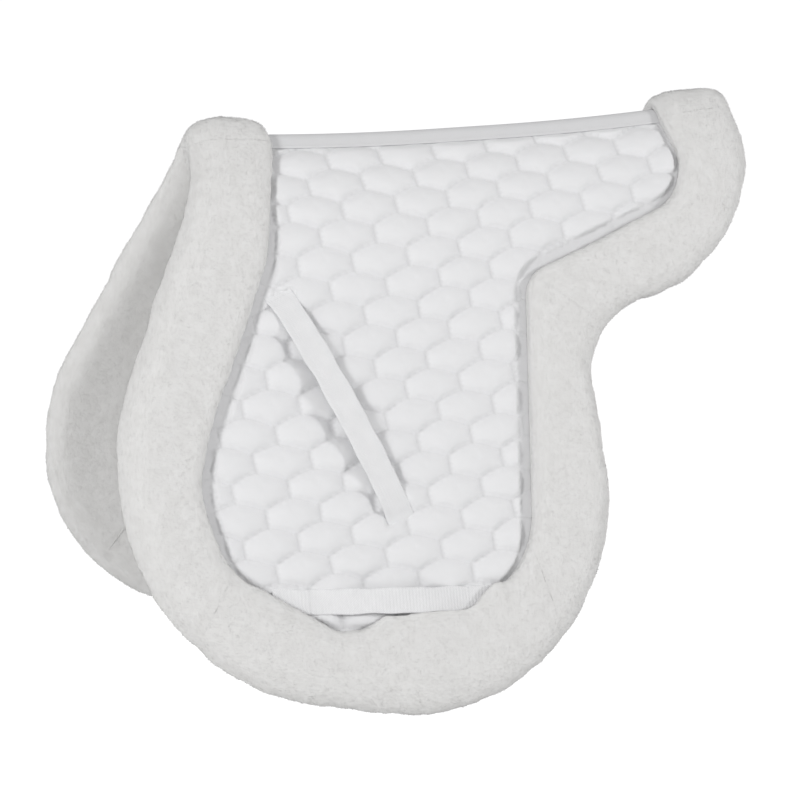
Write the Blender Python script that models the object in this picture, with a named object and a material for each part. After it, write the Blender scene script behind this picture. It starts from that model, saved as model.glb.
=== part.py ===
"""Sheepskin saddle pad for an English saddle, built as its separate sewn pieces.

Axes: +X runs to the cantle end, -Y is the near (left) flap, +Z is up.
The origin is the middle of the webbing's flat underside, where the pad rests on the spine.
Each flap is drawn flat as a pattern: x along the spine, s down over the surface from the
ridge, d out of the surface (0 is the quilted cotton's outer face). Then it is bent to shape.
All sizes are in millimetres.
"""
import math
from dataclasses import dataclass

import bmesh
import bpy
from mathutils import Matrix, Vector
from mathutils.geometry import delaunay_2d_cdt, tessellate_polygon

MM = 0.001


@dataclass(frozen=True)
class Corner:
    """A corner of an outline drawn flat, rounded, and perhaps the seam of two fleece strips."""

    x: float
    s: float
    radius: float
    seam: bool = False


# Spine
POMMEL_X = -289.0
CANTLE_X = 287.0
SPINE_SAG = 11.0
REST_HALF = 30.0
RIDGE_RADIUS = 12.0
RIDGE_SLOPE = math.radians(47)
TAPE_HALF = 19.0
TAPE_THICK = 1.2
SEAM_HALF = 2.6
WEBBING_HALF = 5.2
WEBBING_THICK = 1.8
SEAM_DEPTH = 14.0

# Cross section of a flap
PANEL_TOP = 17.0
CROWN_RADIUS = 220.0
FLAP_SLOPE = math.radians(72)

# Layers of the quilted panel and its lining
COTTON = 1.2
WADDING = 6.0
FLEECE = 11.0
LAYER_GAP = 0.4
LINING_GAP = 0.9

# Quilting
PITCH = 55.0
ROW = 25.6
SHORT_CREASE = 11.0
QUILT_TILT = math.radians(-4)
QUILT_FROM_POMMEL = 135.0
QUILT_S = 36.0
PILLOW = 6.0
PILLOW_TOP = 0.55
EDGE_FLAT = 6.0
PILLOW_RISE = 18.0

# Fleece edge: its outline and the window inside it, corner by corner from the pommel
DROP = 614.0
POMMEL_ROLL = 81.0
CANTLE_ROLL = 84.0
LIP = 17.0
NOSE = 19.0
TUCK_DEPTH = 30.0
TUCK_HEIGHT = 2.8
RIB_SPACING = 24.0
SHOULDER = 121.0
SHOULDER_UP = 305.0
WINDOW_SHOULDER = 127.0
WINDOW_SHOULDER_UP = 269.0
WINDOW_BACK = 283.0
HEM_ROLL = 128.0
HEM_ROLL_BACK = 127.0
OUTER_CORNERS = [
    Corner(POMMEL_X - 3, 57, 240),
    Corner(POMMEL_X - SHOULDER, DROP - SHOULDER_UP, 250),
    Corner(POMMEL_X - 100, DROP - 86, 197, seam=True),
    Corner(CANTLE_X - 195, DROP, 216, seam=True),
    Corner(CANTLE_X - 206, 206, 81, seam=True),
    Corner(CANTLE_X, 182, 150),
]
WINDOW_POMMEL_X = POMMEL_X + POMMEL_ROLL
WINDOW_CANTLE_X = CANTLE_X - CANTLE_ROLL
WINDOW_CORNERS = [
    Corner(WINDOW_POMMEL_X - 28, 138, 75),
    Corner(WINDOW_POMMEL_X - WINDOW_SHOULDER, DROP - WINDOW_SHOULDER_UP, 140),
    Corner(WINDOW_POMMEL_X - 104, DROP - 187, 60, seam=True),
    Corner(WINDOW_POMMEL_X - 6, DROP - HEM_ROLL, 20),
    Corner(WINDOW_CANTLE_X - WINDOW_BACK, DROP - HEM_ROLL_BACK, 25),
    Corner(WINDOW_CANTLE_X - 209, DROP - 187, 90, seam=True),
    Corner(WINDOW_CANTLE_X - 176, 162, 32, seam=True),
    Corner(WINDOW_CANTLE_X + 15, 98, 55),
]

# Webbing straps: middle line drawn flat, from end to end
BILLET_FROM = (WINDOW_POMMEL_X - 17, 170.0)
BILLET_TO = (WINDOW_POMMEL_X + 74, 387.0)
BILLET_WIDTH = 28.0
BILLET_BOW = 15.0
BILLET_SEWN = 14.0
GIRTH_FROM = (WINDOW_POMMEL_X - 64, DROP - 159)
GIRTH_TO = (WINDOW_CANTLE_X - 245, DROP - 146)
GIRTH_WIDTH = 24.0
GIRTH_BOW = 13.5
GIRTH_SEWN = 38.0
STRAP_THICK = 1.6
SEWN_MARGIN = 19.0

# Fold of each flap beside the spine
FOLD_CLOSED = math.radians(19)
FOLD_MARGIN = math.radians(2.5)
LIP_LEAN = math.radians(12)
FOLD_FADE = 95.0
FOLD_GAP = 1.0
CAP_FLOOR = 20.0
CAP_UNDERSIDE = 40.0

# Worked out from the sizes above
PANEL = COTTON + LAYER_GAP + WADDING
LINING_TOP = -PANEL - LINING_GAP
LINING_FACE = LINING_TOP - FLEECE
RIDGE_Z = SEAM_DEPTH + LAYER_GAP + WEBBING_THICK
SPINE_HALF = 0.5 * (CANTLE_X - POMMEL_X)
CROWN_END = PANEL_TOP + CROWN_RADIUS * (FLAP_SLOPE - RIDGE_SLOPE)

# Fineness of the meshes
ARC_STEPS = 8
PRESS_STEPS = 10
CAP_STEPS = 6
COARSE_X = 50.0
COARSE_S = 60.0
CROWN_ROW = 14.0

COTTON_WHITE = (0.83, 0.83, 0.84)
FLEECE_WHITE = (0.78, 0.77, 0.75)


def spine_rise(x):
    """Height of the ridge over its level middle."""
    beyond = max(0.0, abs(x) - REST_HALF)
    return SPINE_SAG * (beyond / (SPINE_HALF - REST_HALF)) ** 2


def section(s):
    """Outward distance, height and slope of the cotton's surface at a distance over the ridge."""
    tight = min(s, RIDGE_RADIUS * RIDGE_SLOPE)
    slope = tight / RIDGE_RADIUS
    out = RIDGE_RADIUS * math.sin(slope)
    height = RIDGE_RADIUS * (math.cos(slope) - 1)
    straight = max(0.0, min(s, PANEL_TOP) - tight)
    out += straight * math.cos(slope)
    height -= straight * math.sin(slope)
    crown = max(0.0, min(s, CROWN_END) - PANEL_TOP)
    if crown > 0:
        slope = RIDGE_SLOPE + crown / CROWN_RADIUS
        out += CROWN_RADIUS * (math.sin(slope) - math.sin(RIDGE_SLOPE))
        height -= CROWN_RADIUS * (math.cos(RIDGE_SLOPE) - math.cos(slope))
        rest = s - PANEL_TOP - crown
        out += rest * math.cos(slope)
        height -= rest * math.sin(slope)
    return out, height, slope


def fold_shift(d):
    """How far a layer's edge beside the spine is cut back, so that the flaps can fold."""
    if d >= 0:
        return d * math.tan(LIP_LEAN)
    if d >= -PANEL:
        return 0.0
    cut = FOLD_CLOSED + FOLD_MARGIN
    reach = (CROWN_RADIUS - PANEL) * math.sin(RIDGE_SLOPE + cut) / (CROWN_RADIUS + d)
    return CROWN_RADIUS * (math.asin(reach) - cut - RIDGE_SLOPE)


def bent(s, d):
    """Outward distance and height of a pattern point on the bent flap."""
    fade = 1 - max(0.0, s - PANEL_TOP) / FOLD_FADE
    if fade > 0:
        s += fold_shift(d) * min(1.0, fade)
    out, height, slope = section(s)
    return out + d * math.sin(slope), height + d * math.cos(slope)


def place(x, s, d, side):
    """Point of the pad for a pattern point; side is -1 on the near flap, 1 on the off flap."""
    out, height = bent(s, d)
    return Vector((x, side * out, RIDGE_Z + spine_rise(x) + height)) * MM


def rounded_pieces(start, corners, end):
    """Outline with rounded corners, split at the middle of each seam corner."""
    knots = [Vector(start)] + [Vector((c.x, c.s)) for c in corners] + [Vector(end)]
    turns = [0.0]
    for before, here, after in zip(knots, knots[1:], knots[2:]):
        turns.append(0.5 * (here - before).angle(after - here))
    turns.append(0.0)
    reach = [0.0] + [c.radius * math.tan(t) for c, t in zip(corners, turns[1:])] + [0.0]
    room = [(b - a).length / (m + n) for a, b, m, n in zip(knots, knots[1:], reach, reach[1:])]
    pieces = [[knots[0]]]
    for i, corner in enumerate(corners, start=1):
        here = knots[i]
        half_turn = turns[i]
        radius = corner.radius * min(1.0, room[i - 1], room[i])
        into = (knots[i - 1] - here).normalized()
        out = (knots[i + 1] - here).normalized()
        centre = here + (into + out).normalized() * radius / math.cos(half_turn)
        arm = here + into * radius * math.tan(half_turn) - centre
        sense = -1 if into.cross(out) > 0 else 1
        for step in range(ARC_STEPS + 1):
            turn = Matrix.Rotation(sense * 2 * half_turn * step / ARC_STEPS, 2)
            pieces[-1].append(centre + turn @ arm)
            if corner.seam and step == ARC_STEPS // 2:
                pieces.append([pieces[-1][-1]])
    pieces[-1].append(knots[-1])
    return pieces


def length(points):
    """Length of a line of points."""
    return sum((b - a).length for a, b in zip(points, points[1:]))


def resample(points, count):
    """The line again as count equal steps."""
    total = length(points)
    result = [points[0]]
    run = 0.0
    for a, b in zip(points, points[1:]):
        piece = (b - a).length
        while len(result) < count and run + piece >= total * len(result) / count - 1e-6:
            result.append(a.lerp(b, (total * len(result) / count - run) / piece))
        run += piece
    result.append(points[-1])
    return result


def edge_ribs():
    """Pairs of window and outer points across the fleece edge, one list for each strip."""
    outer = rounded_pieces((POMMEL_X, PANEL_TOP), OUTER_CORNERS, (CANTLE_X, PANEL_TOP))
    window = rounded_pieces(
        (WINDOW_POMMEL_X, PANEL_TOP), WINDOW_CORNERS, (WINDOW_CANTLE_X, PANEL_TOP)
    )
    strips = []
    for outside, inside in zip(outer, window):
        count = round(length(outside) / RIB_SPACING)
        strips.append(list(zip(resample(inside, count), resample(outside, count))))
    return strips


def across(rib, w):
    """Point of a rib at a distance w from the window's edge."""
    inside, outside = rib
    return inside + (outside - inside).normalized() * w


def rib_length(rib):
    """Width of the fleece edge at a rib."""
    return (rib[1] - rib[0]).length


def closed_outline(edge):
    """An edge from pommel to cantle, closed along the spine."""
    count = round((edge[-1].x - edge[0].x) / COARSE_X)
    top = [edge[-1].lerp(edge[0], step / count) for step in range(1, count)]
    return edge + top


def inside_by(outline, point):
    """Distance inside the outline, negative outside it."""
    nearest = math.inf
    crossings = 0
    for a, b in zip(outline, outline[1:] + outline[:1]):
        edge = b - a
        share = max(0.0, min(1.0, (point - a).dot(edge) / edge.length_squared))
        nearest = min(nearest, (a + edge * share - point).length)
        if (a.y > point.y) != (b.y > point.y):
            crossings += a.x + (point.y - a.y) / edge.y * edge.x > point.x
    return nearest if crossings % 2 else -nearest


def coarse_points(outline):
    """Grid inside an outline, close enough for the bend of the crown."""
    first = COARSE_X * math.ceil(min(p.x for p in outline) / COARSE_X)
    last = max(p.x for p in outline)
    lowest = max(p.y for p in outline)
    points = []
    s = PANEL_TOP + CROWN_ROW
    while s < lowest:
        for column in range(math.ceil((last - first) / COARSE_X)):
            point = Vector((first + COARSE_X * column, s))
            if inside_by(outline, point) > CROWN_ROW / 3:
                points.append(point)
        s += CROWN_ROW if s < CROWN_END else COARSE_S
    return points


def add_object(name, mesh, colour, roughness):
    """Put a finished mesh in the scene with its own material."""
    surface = bpy.data.materials.new(name)
    surface.use_nodes = True
    shader = surface.node_tree.nodes["Principled BSDF"]
    shader.inputs["Base Color"].default_value = (*colour, 1)
    shader.inputs["Roughness"].default_value = roughness
    shader.inputs["Metallic"].default_value = 0
    data = bpy.data.meshes.new(name)
    bmesh.ops.recalc_face_normals(mesh, faces=mesh.faces)
    mesh.to_mesh(data)
    mesh.free()
    data.materials.append(surface)
    piece = bpy.data.objects.new(name, data)
    bpy.context.collection.objects.link(piece)
    return piece


def add_quad(mesh, first, second, third, fourth):
    """Four-sided face as two triangles split from its first corner to its third."""
    mesh.faces.new([first, second, third])
    mesh.faces.new([first, third, fourth])


def triangulated(outline, inner, creases):
    """Triangles of an outline with points and creases inside it, and where each point went."""
    count = len(outline)
    edges = [(i, (i + 1) % count) for i in range(count)]
    edges += [(a + count, b + count) for a, b in creases]
    points, _, faces, origins, _, _ = delaunay_2d_cdt(outline + inner, edges, [], 1, 1e-5)
    where = {old: new for new, olds in enumerate(origins) for old in olds}
    return points, faces, where


def add_sheet(name, side, outline, upper, lower, colour, roughness):
    """One layer: upper and lower are (points, depths, creases) inside the same outline."""
    mesh = bmesh.new()
    rims = []
    for inner, depths, creases, rim_depth in (upper, lower):
        points, faces, where = triangulated(outline, inner, creases)
        depth = [rim_depth] * len(points)
        for index, value in enumerate(depths):
            depth[where[len(outline) + index]] = value
        verts = [mesh.verts.new(place(p.x, p.y, d, side)) for p, d in zip(points, depth)]
        for face in faces:
            mesh.faces.new([verts[i] for i in face])
        rims.append([verts[where[i]] for i in range(len(outline))])
    top, bottom = rims
    for i in range(len(outline)):
        add_quad(mesh, top[i - 1], bottom[i - 1], bottom[i], top[i])
    return add_object(name, mesh, colour, roughness)


def add_sweep(name, rings, section_points, colour, roughness):
    """Closed solid through a row of rings, its ends filled as their flat section is."""
    mesh = bmesh.new()
    loops = [[mesh.verts.new(point) for point in ring] for ring in rings]
    for a, b in zip(loops, loops[1:]):
        for i in range(len(a)):
            add_quad(mesh, a[i], a[i - 1], b[i - 1], b[i])
    for triangle in tessellate_polygon([[Vector((*point, 0)) for point in section_points]]):
        mesh.faces.new([loops[0][i] for i in triangle])
        mesh.faces.new([loops[-1][i] for i in triangle])
    return add_object(name, mesh, colour, roughness)


def quilt(panel, window, patches):
    """Pillows of the quilting: points, their depths and the creases between them."""
    points = []
    depths = []
    creases = set()
    index_of = {}
    turn = Matrix.Rotation(QUILT_TILT, 2)

    def index(point, depth):
        key = (round(point.x, 1), round(point.y, 1))
        if key not in index_of:
            index_of[key] = len(points)
            points.append(point)
            depths.append(depth)
        return index_of[key]

    def height(point):
        room = inside_by(window, point) - EDGE_FLAT
        for patch, flat in patches:
            room = min(room, (point - patch).length - flat)
        return PILLOW * max(0.0, min(1.0, room / PILLOW_RISE))

    half = PITCH / 2
    short = SHORT_CREASE / 2
    tall = ROW - short
    cell = [(half, short), (0, tall), (-half, short), (-half, -short), (0, -tall), (half, -short)]
    start = Vector((POMMEL_X + QUILT_FROM_POMMEL, QUILT_S))
    rows = math.ceil(max(p.y for p in window) / ROW) + 1
    columns = math.ceil(max(abs(p.x - start.x) for p in window) / PITCH) + 1
    for row in range(-2, rows):
        for column in range(-columns, columns):
            across_row = PITCH * (column + 0.5 + 0.5 * (row % 2))
            middle = start + turn @ Vector((across_row, ROW * row))
            corners = [middle + turn @ Vector(c) for c in cell]
            if min(inside_by(panel, c) for c in corners) < EDGE_FLAT / 2:
                continue
            tops = [middle.lerp(c, PILLOW_TOP) for c in corners]
            if max(height(c) for c in tops) <= 0:
                continue
            ring = [index(c, 0.0) for c in corners]
            creases.update(tuple(sorted(pair)) for pair in zip(ring, ring[1:] + ring[:1]))
            crown = [index(c, height(c)) for c in tops]
            creases.update(tuple(sorted(pair)) for pair in zip(crown, crown[1:] + crown[:1]))
    return points, depths, sorted(creases)


def roll_profile(width):
    """Section of the fleece edge: over the face, round the panel's edge and under it."""
    slot_end = width - NOSE + LINING_GAP
    face = LINING_FACE
    lip = LIP + LAYER_GAP
    return [
        (0, TUCK_HEIGHT + LAYER_GAP),
        (-1, 0.5 * lip),
        (3, 0.8 * lip),
        (14, lip),
        (0.5 * width, lip + 1),
        (width - 1.4 * NOSE, lip),
        (width - 0.7 * NOSE, 0.76 * lip),
        (width - 0.22 * NOSE, 0.38 * lip),
        (width, 0.1 * face),
        (width - 0.15 * NOSE, 0.5 * face),
        (width - 0.6 * NOSE, 0.85 * face),
        (width - 1.3 * NOSE, face),
        (0.5 * width, face),
        (0, face),
        (0, LINING_TOP),
        (slot_end, LINING_TOP),
        (slot_end, LAYER_GAP),
        (TUCK_DEPTH + 8, LAYER_GAP + 0.1),
        (TUCK_DEPTH, TUCK_HEIGHT),
    ]


def add_roll(name, side, ribs):
    """One strip of the fleece edge along its ribs, held back a little from the next strip."""
    step = (ribs[1][1] - ribs[0][1]).length
    back = 0.5 * LAYER_GAP / step
    first = tuple(a.lerp(b, back) for a, b in zip(ribs[0], ribs[1]))
    last = tuple(a.lerp(b, back) for a, b in zip(ribs[-1], ribs[-2]))
    rings = []
    for rib in [first] + ribs[1:-1] + [last]:
        ring = []
        for w, d in roll_profile(rib_length(rib)):
            point = across(rib, w)
            ring.append(place(point.x, point.y, d, side))
        rings.append(ring)
    add_sweep(name, rings, roll_profile(rib_length(first)), FLEECE_WHITE, 0.95)


def add_cap(name, edge_x, width, along):
    """Fleece over the spine's end, bent from one flap's strip to the other's."""
    rings = []
    for step in range(CAP_STEPS + 1):
        u = 2 * step / CAP_STEPS - 1
        ring = []
        for w, d in roll_profile(width):
            x = edge_x + along * w
            end_out, end_height = bent(PANEL_TOP - FOLD_GAP, d)
            middle = d
            if d <= LINING_TOP:
                share = (d - LINING_TOP) / (LINING_FACE - LINING_TOP)
                middle = -CAP_FLOOR - share * (CAP_UNDERSIDE - CAP_FLOOR)
            elif d < 0:
                middle = d * CAP_FLOOR / -LINING_TOP
            height = middle + (end_height - middle) * u * u
            ring.append(Vector((x, u * end_out, RIDGE_Z + spine_rise(x) + height)) * MM)
        rings.append(ring)
    add_sweep(name, rings, roll_profile(width), FLEECE_WHITE, 0.95)


def spine_stations():
    """Places along the spine, under the caps' lips at both ends, with the flat rest between."""
    first = WINDOW_POMMEL_X - TUCK_DEPTH
    last = WINDOW_CANTLE_X + TUCK_DEPTH
    count = round((last - first) / COARSE_X)
    evenly = [first + (last - first) * i / count for i in range(count + 1)]
    outside = [x for x in evenly if abs(x) > REST_HALF + COARSE_X / 4]
    return sorted(outside + [-REST_HALF, REST_HALF])


def add_tape():
    """Cotton binding tape folded over the ridge and the panels' top edges."""
    half_arc = RIDGE_RADIUS * RIDGE_SLOPE
    stops = [-TAPE_HALF, -half_arc, -half_arc / 2, 0, half_arc / 2, half_arc, TAPE_HALF]
    flat = [(s, LAYER_GAP + TAPE_THICK) for s in stops] + [(s, LAYER_GAP) for s in stops[::-1]]
    rings = []
    for x in spine_stations():
        rings.append([place(x, abs(s), d, -1 if s < 0 else 1) for s, d in flat])
    add_sweep("spine_binding", rings, flat, COTTON_WHITE, 0.85)


def add_spine_bar(name, half, top, bottom):
    """Flat strip along the spine between two heights under the ridge."""
    corners = ((-half, top), (half, top), (half, bottom), (-half, bottom))
    rings = []
    for x in spine_stations():
        level = RIDGE_Z + spine_rise(x)
        rings.append([Vector((x, y, level + z)) * MM for y, z in corners])
    add_sweep(name, rings, corners, COTTON_WHITE, 0.85)


def add_strap(name, side, start, end, sewn, width, bow):
    """Webbing sewn down at both ends and standing off the quilting between them."""
    start = Vector(start)
    end = Vector(end)
    run = (end - start).length
    along = (end - start).normalized()
    sideways = Vector((-along.y, along.x)) * width / 2
    count = round(run / CROWN_ROW)
    webbing = ((-1, 0), (1, 0), (1, STRAP_THICK), (-1, STRAP_THICK))
    rings = []
    for step in range(count + 1):
        u = run * step / count
        lift = max(0.0, min(1.0, (u - sewn) / (run - 2 * sewn)))
        low = LAYER_GAP + bow * math.sin(math.pi * lift)
        ring = []
        for edge, thick in webbing:
            point = start + along * u + sideways * edge
            ring.append(place(point.x, point.y, low + thick, side))
        rings.append(ring)
    add_sweep(name, rings, webbing, COTTON_WHITE, 0.8)


def add_flap(prefix, side, strips):
    """All the pieces of one flap."""
    ribs = strips[0] + [rib for strip in strips[1:] for rib in strip[1:]]
    panel = closed_outline([across(rib, rib_length(rib) - NOSE) for rib in ribs])
    window = closed_outline([rib[0] for rib in ribs])
    lining = closed_outline([across(rib, -LAYER_GAP) for rib in ribs])
    straps = ((BILLET_FROM, BILLET_TO, BILLET_SEWN), (GIRTH_FROM, GIRTH_TO, GIRTH_SEWN))
    patches = []
    for start, end, sewn in straps:
        along = (Vector(end) - Vector(start)).normalized() * sewn / 2
        flat = sewn / 2 + SEWN_MARGIN
        patches += [(Vector(start) + along, flat), (Vector(end) - along, flat)]
    for step in range(1, PRESS_STEPS):
        under = Vector(GIRTH_FROM).lerp(Vector(GIRTH_TO), step / PRESS_STEPS)
        patches.append((under, GIRTH_WIDTH / 2))

    points, depths, creases = quilt(panel, window, patches)
    grid = coarse_points(panel)
    under_cotton = -COTTON
    over_wadding = under_cotton - LAYER_GAP
    add_sheet(
        prefix + "quilted_face", side, panel,
        (points, depths, creases, 0.0),
        (grid, [under_cotton] * len(grid), [], under_cotton),
        COTTON_WHITE, 0.8,
    )
    add_sheet(
        prefix + "wadding", side, panel,
        (grid, [over_wadding] * len(grid), [], over_wadding),
        (grid, [-PANEL] * len(grid), [], -PANEL),
        COTTON_WHITE, 0.9,
    )
    inner = coarse_points(lining)
    add_sheet(
        prefix + "fleece_lining", side, lining,
        (inner, [LINING_TOP] * len(inner), [], LINING_TOP),
        (inner, [LINING_FACE] * len(inner), [], LINING_FACE),
        FLEECE_WHITE, 0.95,
    )
    for name, strip in zip(("front_roll", "bottom_roll", "rear_roll", "cantle_roll"), strips):
        add_roll(prefix + name, side, strip)
    add_strap(prefix + "billet_strap", side, *straps[0], BILLET_WIDTH, BILLET_BOW)
    add_strap(prefix + "girth_loop", side, *straps[1], GIRTH_WIDTH, GIRTH_BOW)


def main():
    """Build the pad: the spine's pieces, then both flaps from one pattern."""
    for old in list(bpy.data.objects):
        bpy.data.objects.remove(old)
    strips = edge_ribs()
    add_tape()
    add_spine_bar("spine_seam", SEAM_HALF, -LAYER_GAP, -SEAM_DEPTH)
    add_spine_bar("spine_webbing", WEBBING_HALF, -SEAM_DEPTH - LAYER_GAP, -RIDGE_Z)
    add_cap("pommel_fleece_cap", WINDOW_POMMEL_X, POMMEL_ROLL, -1)
    add_cap("cantle_fleece_cap", WINDOW_CANTLE_X, CANTLE_ROLL, 1)
    for prefix, side in (("near_", -1), ("off_", 1)):
        add_flap(prefix, side, strips)
    fold_out, fold_height = bent(PANEL_TOP, -PANEL)
    print("fold axis", round(fold_out, 2), round(RIDGE_Z + fold_height, 2))


main()
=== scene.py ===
"""Looks of a sheepskin saddle pad: wool pile, quilted cotton, webbing and tape round its solids.

Axes: +X runs to the cantle end, -Y is the near flap, +Z is up. A flap's pieces are laid out flat
as a pattern: x along the spine, s down over the surface from the ridge, d out of the surface
(0 is the quilted cotton's outer face). Pattern sizes are in millimetres, meshes in metres.
"""

import logging
import math
from dataclasses import dataclass, field, replace
from enum import Enum

import bpy
import numpy as np
from mathutils import Matrix, Vector
from mathutils.geometry import delaunay_2d_cdt, tessellate_polygon


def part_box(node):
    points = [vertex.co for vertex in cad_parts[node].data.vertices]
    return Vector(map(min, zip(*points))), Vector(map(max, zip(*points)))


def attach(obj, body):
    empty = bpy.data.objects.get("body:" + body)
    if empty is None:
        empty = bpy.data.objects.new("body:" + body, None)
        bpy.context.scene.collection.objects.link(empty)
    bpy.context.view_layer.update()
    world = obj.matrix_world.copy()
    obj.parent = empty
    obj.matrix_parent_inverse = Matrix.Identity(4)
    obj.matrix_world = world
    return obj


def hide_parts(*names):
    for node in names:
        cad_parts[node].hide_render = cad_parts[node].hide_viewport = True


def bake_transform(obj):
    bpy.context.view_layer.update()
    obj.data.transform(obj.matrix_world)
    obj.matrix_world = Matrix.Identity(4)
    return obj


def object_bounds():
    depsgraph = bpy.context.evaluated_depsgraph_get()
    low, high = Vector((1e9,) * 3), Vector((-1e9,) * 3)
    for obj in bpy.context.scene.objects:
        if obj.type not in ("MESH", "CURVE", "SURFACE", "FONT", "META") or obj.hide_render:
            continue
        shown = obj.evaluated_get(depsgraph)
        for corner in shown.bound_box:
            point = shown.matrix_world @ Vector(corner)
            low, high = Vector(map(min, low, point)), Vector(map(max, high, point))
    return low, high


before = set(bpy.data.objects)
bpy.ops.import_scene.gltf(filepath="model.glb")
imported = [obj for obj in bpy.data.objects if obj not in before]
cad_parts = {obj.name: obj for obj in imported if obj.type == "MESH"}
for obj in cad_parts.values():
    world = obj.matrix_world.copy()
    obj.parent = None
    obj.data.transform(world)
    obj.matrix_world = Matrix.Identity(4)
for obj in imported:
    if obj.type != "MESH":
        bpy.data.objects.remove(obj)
cad_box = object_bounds()

log = logging.getLogger("saddle_pad")

MM = 0.001
SQRT2 = math.sqrt(2)

Array = np.ndarray
Finish = bpy.types.Material
Piece = bpy.types.Object
Socket = bpy.types.NodeSocket
Tree = bpy.types.NodeTree


class Side(Enum):
    """The two flaps, by the side of the horse that they lie on."""

    NEAR = -1
    OFF = 1

    @property
    def prefix(self) -> str:
        """Start of the names of this flap's pieces."""
        return self.name.lower() + "_"

    @property
    def body(self) -> str:
        """Body that this flap's pieces ride on."""
        return self.prefix + "flap"


class Strip(Enum):
    """The strips of fleece round a flap's edge, from the pommel."""

    FRONT = 0
    BOTTOM = 1
    REAR = 2
    CANTLE = 3


def add_node(
    tree: Tree, kind: str, values: dict | None = None, **settings: object
) -> bpy.types.Node:
    """Add a node, set it up and wire it.

    Args:
        tree: Node tree that gets the node.
        kind: Type name of the node.
        values: Input name or index to a value, or to the socket that feeds it.
        settings: Properties of the node, set before its inputs.

    Returns:
        The new node.
    """
    node = tree.nodes.new(kind)
    for key, value in settings.items():
        setattr(node, key, value)
    for key, value in (values or {}).items():
        if isinstance(value, Socket):
            tree.links.new(value, node.inputs[key])
        else:
            node.inputs[key].default_value = value
    return node


def math_node(tree: Tree, operation: str, *values: float | Socket) -> Socket:
    """Add a Math node and return its output socket."""
    return add_node(tree, "ShaderNodeMath", dict(enumerate(values)), operation=operation).outputs[0]


def vector_node(tree: Tree, operation: str, *values: tuple | float | Socket) -> Socket:
    """Add a Vector Math node and return its vector output."""
    inputs = dict(zip((0, "Scale") if operation == "SCALE" else (0, 1), values))
    return add_node(tree, "ShaderNodeVectorMath", inputs, operation=operation).outputs[0]


def noise_node(tree: Tree, where: Socket, scale: float, detail: float, output: int = 0) -> Socket:
    """Add a Noise node and return its factor, or its vector of noise, which is output 1."""
    inputs = {"Vector": where, "Scale": scale, "Detail": detail}
    return add_node(tree, "ShaderNodeTexNoise", inputs).outputs[output]


def mix_node(tree: Tree, share: Socket, first: tuple | Socket, second: tuple) -> Socket:
    """Add a Mix node between two colours and return its colour.

    Args:
        tree: Node tree that gets the node.
        share: Share of the second colour.
        first: Colour at share 0, or the socket that gives it.
        second: Colour at share 1.

    Returns:
        The socket that gives the mixed colour.
    """
    first = first if isinstance(first, Socket) else (*first, 1)
    inputs = {0: share, 6: first, 7: (*second, 1)}
    return add_node(tree, "ShaderNodeMix", inputs, data_type="RGBA").outputs[2]


def read_node(tree: Tree, name: str, kind: str = "FLOAT") -> Socket:
    """Add a Named Attribute node to a geometry tree and return its value."""
    node = add_node(tree, "GeometryNodeInputNamedAttribute", {"Name": name}, data_type=kind)
    return node.outputs[0]


def new_tree(name: str, kind: str, inputs: dict, outputs: dict) -> tuple[Tree, dict]:
    """Make a node tree with its sockets.

    Args:
        name: Name of the tree.
        kind: Shader or Geometry.
        inputs: Name of each input to the kind of its socket.
        outputs: Name of each output to the kind of its socket.

    Returns:
        The tree, and its inputs by name.
    """
    tree = bpy.data.node_groups.new(name, kind + "NodeTree")
    for way, sockets in (("INPUT", inputs), ("OUTPUT", outputs)):
        for label, form in sockets.items():
            tree.interface.new_socket(label, in_out=way, socket_type="NodeSocket" + form)
    return tree, add_node(tree, "NodeGroupInput").outputs


def end_tree(tree: Tree, geometry: Socket, finish: Socket) -> Tree:
    """End a geometry tree in smooth shading and a material.

    Args:
        tree: Geometry tree to end.
        geometry: What the tree has made, with every instance made real.
        finish: Socket that gives its material.

    Returns:
        The same tree.
    """
    soft = add_node(tree, "GeometryNodeSetShadeSmooth", {0: geometry}).outputs[0]
    dressed = add_node(tree, "GeometryNodeSetMaterial", {"Geometry": soft, "Material": finish})
    add_node(tree, "NodeGroupOutput", {0: dressed.outputs[0]})
    return tree


def make_object(
    name: str, points: Array, faces: list, edges: list | None = None, smooth: bool = True
) -> Piece:
    """Make an object, linked to the scene.

    Args:
        name: Name of the piece.
        points: One row for each point, in metres.
        faces: Lists of point numbers.
        edges: Pairs of point numbers, of edges without faces.
        smooth: Whether its faces are shaded smooth.

    Returns:
        The object.
    """
    data = bpy.data.meshes.new(name)
    data.from_pydata(points.tolist(), edges or [], [list(map(int, face)) for face in faces])
    if smooth:
        data.shade_smooth()
    data.update()
    piece = bpy.data.objects.new(name, data)
    bpy.context.collection.objects.link(piece)
    return piece


def store(piece: Piece, name: str, values: Array) -> None:
    """Keep one number or one vector for each point of a piece under a name.

    Args:
        piece: Object that keeps the values.
        name: Name of the attribute.
        values: One number or one row of three for each point.
    """
    kind, key = ("FLOAT", "value") if values.ndim == 1 else ("FLOAT_VECTOR", "vector")
    attribute = piece.data.attributes.new(name, kind, "POINT")
    attribute.data.foreach_set(key, np.ascontiguousarray(values, np.float32).ravel())


def apply_nodes(piece: Piece, tree: Tree, values: dict) -> None:
    """Run a geometry tree on a piece and keep the result as its plain mesh.

    Args:
        piece: Object whose mesh goes into the tree.
        tree: Geometry node tree.
        values: Name of an input to its value.
    """
    modifier = piece.modifiers.new(tree.name, "NODES")
    modifier.node_group = tree
    for item in tree.interface.items_tree:
        if item.item_type == "SOCKET" and item.in_out == "INPUT" and item.name in values:
            modifier[item.identifier] = values[item.name]
    graph = bpy.context.evaluated_depsgraph_get()
    made = bpy.data.meshes.new_from_object(piece.evaluated_get(graph))
    made.name = piece.name
    piece.modifiers.clear()
    piece.data = made


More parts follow.
